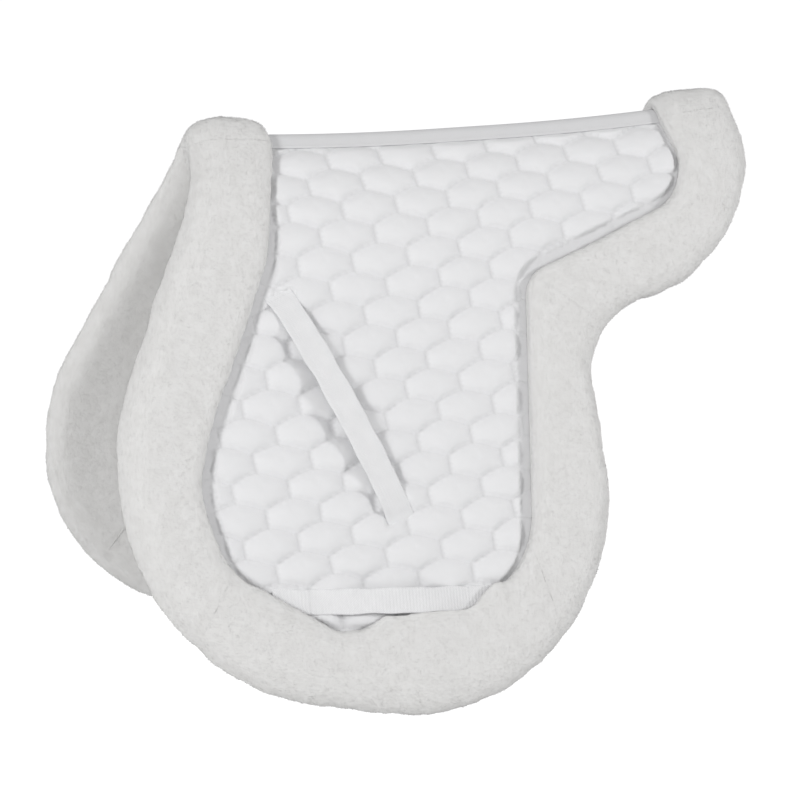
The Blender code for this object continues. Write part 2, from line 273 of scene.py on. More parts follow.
def distance_inside(outline: Array, points: Array) -> Array:
    """Distance of each point inside a closed outline, negative outside it.

    Args:
        outline: Corners of the outline, one row each.
        points: Points to measure, one row each.

    Returns:
        One distance for each point.
    """
    start = outline
    edge = np.roll(outline, -1, axis=0) - start
    result = np.empty(len(points))
    for first in range(0, len(points), 4096):
        part = points[first:first + 4096, None, :]
        share = ((part - start) * edge).sum(2) / (edge * edge).sum(1)
        gap = part - start - np.clip(share, 0, 1)[..., None] * edge
        nearest = np.sqrt((gap * gap).sum(2)).min(1)
        rises = (start[:, 1] > part[..., 1]) != (start[:, 1] + edge[:, 1] > part[..., 1])
        height = np.where(np.abs(edge[:, 1]) > 1e-9, edge[:, 1], 1e-9)
        crossing = start[:, 0] + (part[..., 1] - start[:, 1]) / height * edge[:, 0]
        inside = (rises & (crossing > part[..., 0])).sum(1) % 2 == 1
        result[first:first + 4096] = np.where(inside, nearest, -nearest)
    return result


@dataclass(frozen=True)
class Corner:
    """A corner of an outline drawn flat, rounded, and perhaps the seam of two fleece strips."""

    x: float
    s: float
    radius: float
    seam: bool = False


@dataclass(frozen=True)
class Pattern:
    """The flap's pattern and the way it bends over the horse's back."""

    pommel_x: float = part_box("pommel_fleece_cap")[0].x / MM
    cantle_x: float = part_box("cantle_fleece_cap")[1].x / MM
    pommel_roll: float = 81.0
    cantle_roll: float = 84.0
    drop: float = 614.0
    ridge_z: float = 16.2
    spine_sag: float = 11.0
    rest_half: float = 30.0
    ridge_radius: float = 12.0
    ridge_slope: float = math.radians(47)
    panel_top: float = 17.0
    crown_radius: float = 220.0
    flap_slope: float = math.radians(72)
    panel: float = 7.6
    lining_top: float = -8.5
    lining_face: float = -19.5
    fold_closed: float = math.radians(21.5)
    lip_lean: float = math.radians(12)
    fold_fade: float = 95.0
    nose: float = 19.0
    outline_step: float = 8.0
    arc_steps: int = 32

    @property
    def window_pommel_x(self) -> float:
        """Where the window in the fleece starts along the spine."""
        return self.pommel_x + self.pommel_roll

    @property
    def window_cantle_x(self) -> float:
        """Where the window in the fleece ends along the spine."""
        return self.cantle_x - self.cantle_roll

    @property
    def outer_corners(self) -> list[Corner]:
        """Corners of the flap's outer edge, from the pommel.

        Returns:
            The corners, on the pattern.
        """
        first, last, drop = self.pommel_x, self.cantle_x, self.drop
        return [
            Corner(first - 3, 57, 240),
            Corner(first - 121, drop - 305, 250),
            Corner(first - 100, drop - 86, 197, seam=True),
            Corner(last - 195, drop, 216, seam=True),
            Corner(last - 206, 206, 81, seam=True),
            Corner(last, 182, 150),
        ]

    @property
    def window_corners(self) -> list[Corner]:
        """Corners of the window that shows the quilting, from the pommel.

        Returns:
            The corners, on the pattern.
        """
        first, last, drop = self.window_pommel_x, self.window_cantle_x, self.drop
        return [
            Corner(first - 28, 138, 75),
            Corner(first - 127, drop - 269, 140),
            Corner(first - 104, drop - 187, 60, seam=True),
            Corner(first - 6, drop - 128, 20),
            Corner(last - 283, drop - 127, 25),
            Corner(last - 209, drop - 187, 90, seam=True),
            Corner(last - 176, 162, 32, seam=True),
            Corner(last + 15, 98, 55),
        ]

    def spine_rise(self, x: Array) -> Array:
        """Height of the ridge over its level middle.

        Args:
            x: Distance along the spine.

        Returns:
            The height at each distance.
        """
        half = 0.5 * (self.cantle_x - self.pommel_x)
        beyond = np.maximum(0, np.abs(x) - self.rest_half)
        return self.spine_sag * (beyond / (half - self.rest_half)) ** 2

    def section(self, s: Array) -> tuple[Array, Array, Array]:
        """Outward distance, height and slope of the cotton's face at a distance over the ridge.

        Args:
            s: Distance over the surface from the ridge.

        Returns:
            Outward distance, height under the ridge, and slope in radians.
        """
        tight = np.minimum(s, self.ridge_radius * self.ridge_slope)
        slope = tight / self.ridge_radius
        out = self.ridge_radius * np.sin(slope)
        height = self.ridge_radius * (np.cos(slope) - 1)
        straight = np.clip(s, tight, self.panel_top) - tight
        out = out + straight * np.cos(slope)
        height = height - straight * np.sin(slope)
        turn = self.flap_slope - self.ridge_slope
        crown = np.clip(s - self.panel_top, 0, self.crown_radius * turn)
        slope = slope + crown / self.crown_radius
        bent = crown > 0
        out = out + bent * self.crown_radius * (np.sin(slope) - math.sin(self.ridge_slope))
        height = height - bent * self.crown_radius * (math.cos(self.ridge_slope) - np.cos(slope))
        rest = np.maximum(0, s - self.panel_top - self.crown_radius * turn)
        return out + rest * np.cos(slope), height - rest * np.sin(slope), slope

    def fold_shift(self, d: Array) -> Array:
        """How far a layer's edge beside the spine is cut back, so that the flaps can fold.

        Args:
            d: Distance out of the surface.

        Returns:
            How far down the flap each distance's layer starts.
        """
        reach = (self.crown_radius - self.panel) * math.sin(self.ridge_slope + self.fold_closed)
        cut = np.arcsin(np.clip(reach / (self.crown_radius + d), -1, 1))
        cut = self.crown_radius * (cut - self.fold_closed - self.ridge_slope)
        return np.where(d >= 0, d * math.tan(self.lip_lean), np.where(d < -self.panel, cut, 0))

    def bent(self, s: Array, d: Array) -> tuple[Array, Array]:
        """Outward distance and height of pattern points on the bent flap.

        Args:
            s: Distance over the surface from the ridge.
            d: Distance out of the surface.

        Returns:
            Outward distance and height, one of each for each point.
        """
        fade = np.clip(1 - np.maximum(0, s - self.panel_top) / self.fold_fade, 0, 1)
        out, height, slope = self.section(s + self.fold_shift(d) * fade)
        return out + d * np.sin(slope), height + d * np.cos(slope)

    def place(self, x: Array, s: Array, d: Array, side: Side) -> Array:
        """Points of the pad in metres for pattern points.

        Args:
            x: Distance along the spine.
            s: Distance over the surface from the ridge.
            d: Distance out of the surface.
            side: Flap that the points are on.

        Returns:
            One row for each point.
        """
        x, s, d = (np.asarray(value, float) for value in np.broadcast_arrays(x, s, d))
        out, height = self.bent(s, d)
        z = self.ridge_z + self.spine_rise(x) + height
        return np.stack([x, side.value * out, z], axis=-1) * MM

    def rounded(self, start: tuple, corners: list[Corner], end: tuple) -> list[Array]:
        """Outline with rounded corners, split at the middle of each seam corner.

        Args:
            start: First point of the outline.
            corners: Corners between its ends.
            end: Last point of the outline.

        Returns:
            One row of points for each piece between two seams.
        """
        knots = [Vector(start)] + [Vector((c.x, c.s)) for c in corners] + [Vector(end)]
        turns = [0.0]
        for before, here, after in zip(knots, knots[1:], knots[2:]):
            turns.append(0.5 * (here - before).angle(after - here))
        turns.append(0.0)
        reach = [0.0] + [c.radius * math.tan(t) for c, t in zip(corners, turns[1:])] + [0.0]
        room = [(b - a).length / (m + n) for a, b, m, n in zip(knots, knots[1:], reach, reach[1:])]
        pieces = [[knots[0]]]
        for i, corner in enumerate(corners, start=1):
            here = knots[i]
            radius = corner.radius * min(1.0, room[i - 1], room[i])
            into = (knots[i - 1] - here).normalized()
            out = (knots[i + 1] - here).normalized()
            centre = here + (into + out).normalized() * radius / math.cos(turns[i])
            arm = here + into * radius * math.tan(turns[i]) - centre
            sense = -1 if into.cross(out) > 0 else 1
            for step in range(self.arc_steps + 1):
                turn = Matrix.Rotation(sense * 2 * turns[i] * step / self.arc_steps, 2)
                pieces[-1].append(centre + turn @ arm)
                if corner.seam and step == self.arc_steps // 2:
                    pieces.append([pieces[-1][-1]])
        pieces[-1].append(knots[-1])
        return [np.array([tuple(p) for p in piece]) for piece in pieces]

    def edge_ribs(self, spacing: float) -> list[tuple[Array, Array]]:
        """Pairs of window and outer points across the fleece edge, one pair of rows a strip.

        Args:
            spacing: Distance between two ribs along the outer edge.

        Returns:
            For each strip, its rows of window points and of outer points.
        """
        top = self.panel_top
        outer = self.rounded((self.pommel_x, top), self.outer_corners, (self.cantle_x, top))
        window = self.rounded(
            (self.window_pommel_x, top), self.window_corners, (self.window_cantle_x, top)
        )
        ribs = []
        for outside, inside in zip(outer, window):
            count = max(2, round(path_length(outside) / spacing))
            ribs.append((resample(inside, count), resample(outside, count)))
        return ribs

    def outline(self, window: bool) -> Array:
        """Closed outline of the window in the fleece, or of the panel inside the fleece's nose.

        Args:
            window: Whether the window's outline is wanted.

        Returns:
            Points of the outline, one row each.
        """
        rows = []
        for inside, outside in self.edge_ribs(self.outline_step):
            across = (outside - inside) / np.linalg.norm(outside - inside, axis=1)[:, None]
            rows.append(inside if window else outside - across * self.nose)
        edge = np.concatenate([rows[0]] + [row[1:] for row in rows[1:]])
        count = round((edge[-1, 0] - edge[0, 0]) / self.outline_step)
        share = np.arange(1, count)[:, None] / count
        return np.concatenate([edge, edge[-1] + (edge[0] - edge[-1]) * share])


def smooth(share: Array) -> Array:
    """Smooth step from 0 to 1."""
    share = np.clip(share, 0, 1)
    return share * share * (3 - 2 * share)


def path_length(points: Array) -> float:
    """Length of a line of points."""
    return float(np.linalg.norm(np.diff(points, axis=0), axis=1).sum())


def resample(points: Array, count: int) -> Array:
    """The line again as count equal steps.

    Args:
        points: Points of the line.
        count: Number of steps.

    Returns:
        One more point than there are steps.
    """
    run = np.concatenate([[0], np.cumsum(np.linalg.norm(np.diff(points, axis=0), axis=1))])
    at = np.linspace(0, run[-1], count + 1)
    return np.stack([np.interp(at, run, points[:, i]) for i in range(points.shape[1])], axis=1)


def spline(points: Array, steps: int) -> Array:
    """Smooth curve through points, as a weight matrix applied to rows of control points.

    Args:
        points: Control points in order, with any further axes after the first.
        steps: Steps between two control points.

    Returns:
        The curve's points, along the first axis.
    """
    padded = np.concatenate([points[:1], points, points[-1:]])
    pieces = []
    for i in range(len(points) - 1):
        a, b, c, e = padded[i:i + 4]
        for step in range(steps):
            t = step / steps
            pieces.append(0.5 * (
                2 * b + (c - a) * t + (2 * a - 5 * b + 4 * c - e) * t * t
                + (3 * b - a - 3 * c + e) * t ** 3
            ))
    pieces.append(points[-1])
    return np.array(pieces)


@dataclass(frozen=True)
class Sheet:
    """A flat sheet: its points, how far out each is, its painted shade, its triangles and edges."""

    flat: Array
    depth: Array
    triangles: list
    rim: list
    creases: list = field(default_factory=list)
    # Share of painted shade at each point, which darkens the cotton's colour in creases and in the
    # valley beside the fleece.
    shade: Array | None = None


def cut_sheet(
    outline: Array, inner: Array, depths: Array, creases: list, rim_depth: float
) -> Sheet:
    """Cut a sheet to an outline, with points and creases inside it.

    Args:
        outline: Corners of the outline.
        inner: Points inside it.
        depths: How far out each inner point lies.
        creases: Pairs of numbers of inner points that an edge joins.
        rim_depth: How far out the outline lies.

    Returns:
        The sheet.
    """
    count = len(outline)
    edges = [(i, (i + 1) % count) for i in range(count)]
    edges += [(a + count, b + count) for a, b in creases]
    coords = [Vector(p) for p in np.concatenate([outline, inner]).tolist()]
    points, _, triangles, origins, _, _ = delaunay_2d_cdt(coords, edges, [], 1, 1e-4)
    where = {old: new for new, olds in enumerate(origins) for old in olds}
    depth = np.full(len(points), float(rim_depth))
    for index, value in enumerate(depths):
        depth[where[count + index]] = value
    flat = np.array([tuple(p) for p in points])
    rim = [where[i] for i in range(count)]
    return Sheet(flat, depth, triangles, rim, [(where[a], where[b]) for a, b in edges[count:]])


def plain_sheet(outline: Array, step: float, depth: float) -> Sheet:
    """Cut a level sheet to an outline, with a grid of points inside it."""
    inner = hex_points(outline, step, 0.4 * step)
    return cut_sheet(outline, inner, np.full(len(inner), depth), [], depth)


def hex_points(outline: Array, step: float, margin: float) -> Array:
    """Points on a triangular grid inside an outline, no nearer to it than a margin.

    Args:
        outline: Corners of the outline.
        step: Distance between two points.
        margin: Least distance from the outline.

    Returns:
        One row for each point.
    """
    low, high = outline.min(0), outline.max(0)
    rows = int((high[1] - low[1]) / (step * math.sin(math.pi / 3))) + 1
    columns = int((high[0] - low[0]) / step) + 2
    row, column = np.mgrid[0:rows, 0:columns]
    x = low[0] + step * (column + 0.5 * (row % 2))
    s = low[1] + step * math.sin(math.pi / 3) * row
    points = np.stack([x.ravel(), s.ravel()], axis=1)
    return points[distance_inside(outline, points) > margin]


def new_finish(name: str, roughness: float) -> tuple[Finish, Tree, dict]:
    """Make a material, and return it with its node tree and its shader's inputs.

    Args:
        name: Name of the material.
        roughness: Roughness of its surface.

    Returns:
        The material, its node tree and its shader's inputs.
    """
    finish = bpy.data.materials.new(name)
    finish.use_nodes = True
    inputs = finish.node_tree.nodes["Principled BSDF"].inputs
    inputs["Roughness"].default_value = roughness
    return finish, finish.node_tree, inputs


@dataclass(frozen=True)
class Cotton:
    """Woven white cotton: of the quilting, the tape, the webbing or the thread."""

    name: str
    colour: tuple = (0.85, 0.85, 0.86)
    roughness: float = 0.85
    sheen: float = 0.15
    sheen_roughness: float = 0.5
    thread: float = 0.7
    bump: float = 0.12
    bump_strength: float = 0.6
    depth: float = 0.05
    laid: bool = False
    # How much darker the colour is where the crease attribute is set: painted shade in creases and
    # valleys.
    crease: float = 0.0

    def darker(self, share: float) -> tuple:
        """The colour, darker by a share."""
        return tuple((1 - share) * c for c in self.colour)

    def build(self) -> Finish:
        """Make the material, with the weave from the shared group and painted shade in creases.

        Returns:
            The material.
        """
        finish, tree, inputs = new_finish(self.name, self.roughness)
        inputs["Sheen Weight"].default_value = self.sheen
        inputs["Sheen Roughness"].default_value = self.sheen_roughness
        if self.laid:
            where = add_node(tree, "ShaderNodeAttribute", attribute_name="lay").outputs["Vector"]
        else:
            where = add_node(tree, "ShaderNodeTexCoord").outputs["Object"]
        weave = add_node(tree, "ShaderNodeGroup", node_tree=weave_group())
        tree.links.new(where, weave.inputs["Where"])
        weave.inputs["Thread"].default_value = self.thread * MM
        colour = mix_node(tree, weave.outputs["Shade"], self.darker(self.depth), self.colour)
        # Painted shade: the crease attribute darkens the colour in the quilting's creases and in the
        # valley beside the fleece.
        if self.crease:
            painted_shade = add_node(tree, "ShaderNodeAttribute", attribute_name="crease").outputs["Fac"]
            colour = mix_node(tree, painted_shade, colour, self.darker(self.crease))
        tree.links.new(colour, inputs["Base Color"])
        bump = add_node(tree, "ShaderNodeBump", {
            "Height": weave.outputs["Height"],
            "Strength": self.bump_strength,
            "Distance": self.bump * MM,
        })
        tree.links.new(bump.outputs[0], inputs["Normal"])
        return finish


def weave_group() -> Tree:
    """Shader group, made once, of twill threads: their height and the shade between them.

    Returns:
        The group's node tree.
    """
    made = bpy.data.node_groups.get("weave")
    if made:
        return made
    tree, given = new_tree(
        "weave", "Shader", {"Where": "Vector", "Thread": "Float"},
        {"Height": "Float", "Shade": "Float"},
    )
    where = given["Where"]
    split = add_node(tree, "ShaderNodeSeparateXYZ", {0: where})
    x, z = split.outputs[0], math_node(tree, "ADD", split.outputs[1], split.outputs[2])
    rate = math_node(tree, "DIVIDE", 2 * math.pi, given["Thread"])
    twill = math_node(tree, "SINE", math_node(tree, "MULTIPLY", math_node(tree, "ADD", x, z), rate))
    cross = math_node(tree, "SINE", math_node(
        tree, "MULTIPLY", math_node(tree, "SUBTRACT", x, z), math_node(tree, "MULTIPLY", rate, 0.5)
    ))
    height = math_node(tree, "MULTIPLY_ADD", twill, 0.35, 0.5)
    height = math_node(tree, "MULTIPLY_ADD", cross, 0.15, height)
    fine_scale, broad_scale = 400.0, 60.0
    slub = noise_node(tree, where, fine_scale, 2.0)
    broad = noise_node(tree, where, broad_scale, 3.0)
    add_node(tree, "NodeGroupOutput", {
        "Height": math_node(tree, "MULTIPLY_ADD", slub, 0.4, height),
        "Shade": math_node(tree, "MULTIPLY_ADD", twill, 0.2, math_node(tree, "ADD", broad, 0.1)),
    })
    return tree


@dataclass(frozen=True)
class Wool:
    """Clipped white sheepskin pile."""

    name: str
    colour: tuple = (0.78, 0.776, 0.768)
    shaded: tuple = (0.752, 0.747, 0.737)
    lock: float = 14.0
    mottle: tuple = (0.35, 0.65)
    specular: float = 0.1
    glow_weight: float = 0.3
    glow_depth: float = 1.5

    def build(self) -> Finish:
        """Make the material, mottled from lock to lock.

        Returns:
            The material.
        """
        finish, tree, inputs = new_finish(self.name, 1.0)
        inputs["Specular IOR Level"].default_value = self.specular
        inputs["Subsurface Weight"].default_value = self.glow_weight
        inputs["Subsurface Radius"].default_value = (1.0, 1.0, 1.0)
        inputs["Subsurface Scale"].default_value = self.glow_depth * MM
        where = add_node(tree, "ShaderNodeTexCoord").outputs["Object"]
        ramp = add_node(tree, "ShaderNodeMapRange", {
            "Value": noise_node(tree, where, 1 / (self.lock * MM), 3.0),
            "From Min": self.mottle[0],
            "From Max": self.mottle[1],
        })
        tint = mix_node(tree, ramp.outputs[0], self.shaded, self.colour)
        tree.links.new(tint, inputs["Base Color"])
        return finish


@dataclass(frozen=True)
class Pile:
    """Wool pile grown on a piece whose points hold a pile mask and an outward direction.

    Lengths are in millimetres, and density is in tufts for each square millimetre. The skin
    sinks by the inset and rises by noise in lumps, locks and curls.
    """

    density: float = 0.28
    inset: float = 1.2
    length: float = 1.4
    width: float = 0.36
    lump: float = 45.0
    lump_height: float = 1.4
    lock: float = 10.0
    lock_height: float = 0.6
    curl: float = 3.6
    curl_height: float = 0.2
    lean: float = 0.6
    soft: float = 0.1
    calm: float = 2.5
    smallest: float = 0.65
    largest: float = 1.25
    noise_gain: float = 4.0
    seed: int = 1

    def inputs(self) -> dict[str, float]:
        """The sizes as the tree's named inputs, in metres.

        Returns:
            Name of each input to its value.
        """
        lengths = ("inset", "length", "width", "lump", "lump_height", "lock", "lock_height",
                   "curl", "curl_height")
        sizes = {name.replace("_", " ").title(): getattr(self, name) * MM for name in lengths}
        return sizes | {"Density": self.density / MM ** 2, "Lean": self.lean}

    def tree(self) -> Tree:
        """The geometry tree, built once, with these sizes as named inputs.

        Returns:
            The tree, which the pieces share.
        """
        made = bpy.data.node_groups.get("wool_pile")
        if made:
            return made
        inputs = {name: "Float" for name in self.inputs()}
        tree, given = new_tree(
            "wool_pile", "Geometry",
            {"Geometry": "Geometry", **inputs, "Seed": "Int", "Finish": "Material"},
            {"Geometry": "Geometry"},
        )
        outward = read_node(tree, "outward", "FLOAT_VECTOR")
        where = add_node(tree, "GeometryNodeInputPosition").outputs[0]
        raised = math_node(tree, "MULTIPLY", given["Inset"], -1 / self.noise_gain)
        for form in ("Lump", "Lock", "Curl"):
            scale = math_node(tree, "DIVIDE", 1.0, given[form])
            centred = math_node(tree, "SUBTRACT", noise_node(tree, where, scale, 1.0), 0.5)
            raised = math_node(tree, "MULTIPLY_ADD", centred, given[form + " Height"], raised)
        raised = math_node(tree, "MULTIPLY", raised, self.noise_gain)
        raised = math_node(tree, "MULTIPLY", raised, read_node(tree, "pile"))
        fine = add_node(tree, "GeometryNodeSubdivideMesh", {0: given["Geometry"], 1: 1}).outputs[0]
        skin = add_node(tree, "GeometryNodeSetPosition", {
            "Geometry": fine,
            "Offset": vector_node(tree, "SCALE", outward, raised),
        }).outputs[0]
        scatter = add_node(tree, "GeometryNodeDistributePointsOnFaces", {
            "Mesh": skin,
            "Density": math_node(tree, "MULTIPLY", read_node(tree, "grow"), given["Density"]),
            "Seed": given["Seed"],
        })
        swirl = noise_node(tree, where, math_node(tree, "DIVIDE", 1.0, given["Lock"]), 2.0, 1)
        swirl = vector_node(tree, "SUBTRACT", swirl, (0.5, 0.5, 0.5))
        stray = add_node(tree, "FunctionNodeRandomValue", {
            0: (-0.5, -0.5, -0.5), 1: (0.5, 0.5, 0.5), "Seed": given["Seed"],
        }, data_type="FLOAT_VECTOR").outputs[0]
        sway = math_node(tree, "MULTIPLY", given["Lean"], self.noise_gain)
        lean = vector_node(tree, "SCALE", swirl, sway)
        lean = vector_node(tree, "ADD", lean, vector_node(tree, "SCALE", stray, given["Lean"]))
        direction = vector_node(tree, "NORMALIZE", vector_node(tree, "ADD", outward, lean))
        soft = vector_node(tree, "ADD", outward, vector_node(tree, "SCALE", direction, self.soft))
        points = add_node(tree, "GeometryNodeStoreNamedAttribute", {
            "Geometry": scatter.outputs[0],
            "Name": "soft_normal",
            "Value": vector_node(tree, "NORMALIZE", soft),
        }, data_type="FLOAT_VECTOR", domain="POINT").outputs[0]
        tuft = add_node(tree, "GeometryNodeMeshCone", {
            "Vertices": 3, "Side Segments": 1, "Radius Top": 0.0,
            "Radius Bottom": math_node(tree, "MULTIPLY", given["Width"], 0.5),
            "Depth": given["Length"],
        }, fill_type="NGON").outputs[0]
        turned = add_node(
            tree, "FunctionNodeAlignRotationToVector", {"Vector": direction}, axis="Z"
        ).outputs[0]
        size = add_node(tree, "FunctionNodeRandomValue", {
            2: self.smallest, 3: self.largest, "Seed": given["Seed"],
        }, data_type="FLOAT").outputs[1]
        tufts = add_node(tree, "GeometryNodeInstanceOnPoints", {
            "Points": points, "Instance": tuft, "Rotation": turned, "Scale": size,
        }).outputs[0]
        tufts = add_node(tree, "GeometryNodeRealizeInstances", {0: tufts}).outputs[0]
        joined = add_node(tree, "GeometryNodeJoinGeometry")
        tree.links.new(skin, joined.inputs[0])
        tree.links.new(tufts, joined.inputs[0])
        return end_tree(tree, joined.outputs[0], given["Finish"])

    def grow(self, piece: Piece, finish: Finish, seed: int) -> None:
        """Grow the pile on a piece, and shade its tufts and the skin under them softly.

        Args:
            piece: Object with the point attributes pile, grow and outward.
            finish: Material of skin and tufts.
            seed: Seed of the scatter, different on each piece.
        """
        seed += 100 * self.seed
        apply_nodes(piece, self.tree(), self.inputs() | {"Seed": seed, "Finish": finish})
        data = piece.data
        tuft, outward, own = np.zeros((3, 3 * len(data.vertices)), np.float32)
        grown = np.zeros(len(data.vertices), np.float32)
        data.attributes["soft_normal"].data.foreach_get("vector", tuft)
        data.attributes["outward"].data.foreach_get("vector", outward)
        data.attributes["grow"].data.foreach_get("value", grown)
        data.vertex_normals.foreach_get("vector", own)
        tuft, outward, own = (values.reshape(-1, 3) for values in (tuft, outward, own))
        skin = own + self.calm * grown[:, None] * outward
        soft = np.where(np.abs(tuft).sum(1, keepdims=True) > 0, tuft, skin)
        soft = soft / np.maximum(np.linalg.norm(soft, axis=1, keepdims=True), 1e-6)
        data.normals_split_custom_set_from_vertices(soft.tolist())
        for name in ("pile", "grow", "outward", "soft_normal"):
            data.attributes.remove(data.attributes[name])


def declare_padded(piece: Piece, node: str) -> Piece:
    """Hide the node that a padded piece stands for.

    Args:
        piece: The finished piece.
        node: Node that it replaces.

    Returns:
        The same piece.
    """
    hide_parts(node)
    return piece


def sweep_faces(rings: int, ring: int) -> list:
    """Quads between rings of points that are closed round.

    Args:
        rings: Number of rings.
        ring: Number of points in a ring.

    Returns:
        Four point numbers for each face.
    """
    faces = []
    for i in range(rings - 1):
        for j in range(ring):
            k = (j + 1) % ring
            faces.append((i * ring + j, (i + 1) * ring + j, (i + 1) * ring + k, i * ring + k))
    return faces


def end_faces(flat: Array) -> list:
    """Triangles that fill a ring of points, in the ring's order, from its flat section."""
    fill = tessellate_polygon([[Vector((p[0], p[1], 0)) for p in flat]])
    return [sorted(triangle) for triangle in fill]


def turn_outward(data: bpy.types.Mesh) -> None:
    """Turn a closed mesh's faces outward if they face in.

    Args:
        data: Mesh to look at.
    """
    points = np.empty(3 * len(data.vertices), np.float32)
    data.vertices.foreach_get("co", points)
    points = points.reshape(-1, 3).astype(float)
    data.calc_loop_triangles()
    corners = np.empty(3 * len(data.loop_triangles), np.int32)
    data.loop_triangles.foreach_get("vertices", corners)
    a, b, c = (points[corners[i::3]] for i in range(3))
    if (a * np.cross(b, c)).sum() < 0:
        data.flip_normals()


def make_sweep(name: str, grid: Array, flat: tuple, own_ends: bool = False) -> Piece:
    """Make a closed piece through a row of rings.

    Args:
        name: Name of the piece.
        grid: Points by ring and place in the ring, in metres.
        flat: Sections of the first and the last ring, flat.
        own_ends: Whether the ends have points of their own, after the rings' points.

    Returns:
        The piece.
    """
    rings, ring = grid.shape[:2]
    faces = sweep_faces(rings, ring)
    points = grid.reshape(-1, 3)
    first, last = 0, (rings - 1) * ring
    if own_ends:
        first, last = rings * ring, (rings + 1) * ring
        points = np.concatenate([points, grid[0], grid[-1]])
    faces += [[first + i for i in face] for face in end_faces(flat[0])]
    faces += [[last + i for i in face[::-1]] for face in end_faces(flat[1])]
    piece = make_object(name, points, faces)
    turn_outward(piece.data)
    return piece


def with_ends(values: Array) -> Array:
    """Values by ring and place, as one row for each point of a sweep and its ends."""
    return np.concatenate([values.reshape(-1, *values.shape[2:]), values[0], values[-1]])


def grid_normals(grid: Array) -> Array:
    """Normals of a row of closed rings of points, by ring and place, to either side.

    Args:
        grid: Points by ring and place in the ring.

    Returns:
        Normals of length 1, in the same order.
    """
    along = np.gradient(grid, axis=0)
    round_ring = np.roll(grid, -1, axis=1) - np.roll(grid, 1, axis=1)
    normal = np.cross(along, round_ring)
    return normal / np.maximum(np.linalg.norm(normal, axis=2, keepdims=True), 1e-12)


def ready_for_pile(piece: Piece, mask: Array, normal: Array) -> None:
    """Give a sweep the attributes that its pile grows by.

    Args:
        piece: The sweep.
        mask: Share of pile by ring and place in the ring.
        normal: Normal by ring and place, to either side of the surface.
    """
    count = mask.size
    own = np.empty(3 * len(piece.data.vertices), np.float32)
    piece.data.vertex_normals.foreach_get("vector", own)
    own = own.reshape(-1, 3)[:count]
    agree = (own * normal.reshape(-1, 3)).sum()
    grow = with_ends(mask)
    store(piece, "pile", grow)
    store(piece, "outward", with_ends(normal) * (1 if agree > 0 else -1))
    bare = grow.copy()
    bare[count:] = 0
    store(piece, "grow", bare)


@dataclass(frozen=True)
class FleeceSection:
    """Section of the fleece edge: over the face, round the panel's edge and under it."""

    lip: float = 17.4
    nose: float = 19.0
    tuck_depth: float = 30.0
    tuck_height: float = 3.2
    rest_height: float = 0.5
    clearance: float = 0.4
    slot_clearance: float = 0.9
    bare_lip: tuple = (0.0, 0.3, 0.6, 0.85)
    steps: int = 5

    def ring(
        self, width: Array, pattern: Pattern, lifted: Array, over: Array
    ) -> tuple[Array, Array, Array]:
        """Section for each width of the edge.

        Args:
            width: Width of the edge at each ring.
            pattern: Pattern that gives the lining's depths.
            lifted: Share by which the lip is lifted off the quilting, to let webbing in.
            over: How far the lip leans over the window's edge.

        Returns:
            Distances from the window and depths, by ring and place, and the share of pile.
        """
        under = self.rest_height + (self.tuck_height - self.rest_height) * lifted
        lip, nose, face, top = self.lip, self.nose, pattern.lining_face, pattern.lining_top
        slot_end = width - nose + self.slot_clearance
        fleece = [
            (1 - over, under),
            (-1 - over, 0.45 * lip),
            (3 - 1.3 * over, 0.8 * lip),
            (14 - over, lip),
            (0.3 * width, lip + 0.8),
            (0.5 * width, lip + 1),
            (width - 1.4 * nose, lip),
            (width - 0.7 * nose, 0.76 * lip),
            (width - 0.22 * nose, 0.38 * lip),
            (width, 0.1 * face),
            (width - 0.15 * nose, 0.5 * face),
            (width - 0.6 * nose, 0.85 * face),
            (width - 1.3 * nose, face),
            (0.5 * width, face),
            (0.2 * width, face),
            (0, face),
        ]
        hidden = [
            (0, 0.5 * (face + top)),
            (0, top),
            (0.5 * width, top),
            (slot_end, top),
            (slot_end, self.clearance),
            (self.tuck_depth + 8, self.clearance + 0.1),
            (self.tuck_depth, self.tuck_height),
        ]
        points = [np.stack([w + 0 * width, d + 0 * width], axis=1) for w, d in fleece + hidden]
        curve = spline(np.array(points[:len(fleece)]), self.steps)
        both = np.concatenate([curve, points[len(fleece):]]).transpose(1, 0, 2)
        share = np.repeat([1.0, 0.0], [len(curve), len(hidden)])
        share[:len(self.bare_lip)] = self.bare_lip
        return both[..., 0], both[..., 1], np.tile(share, (len(width), 1))


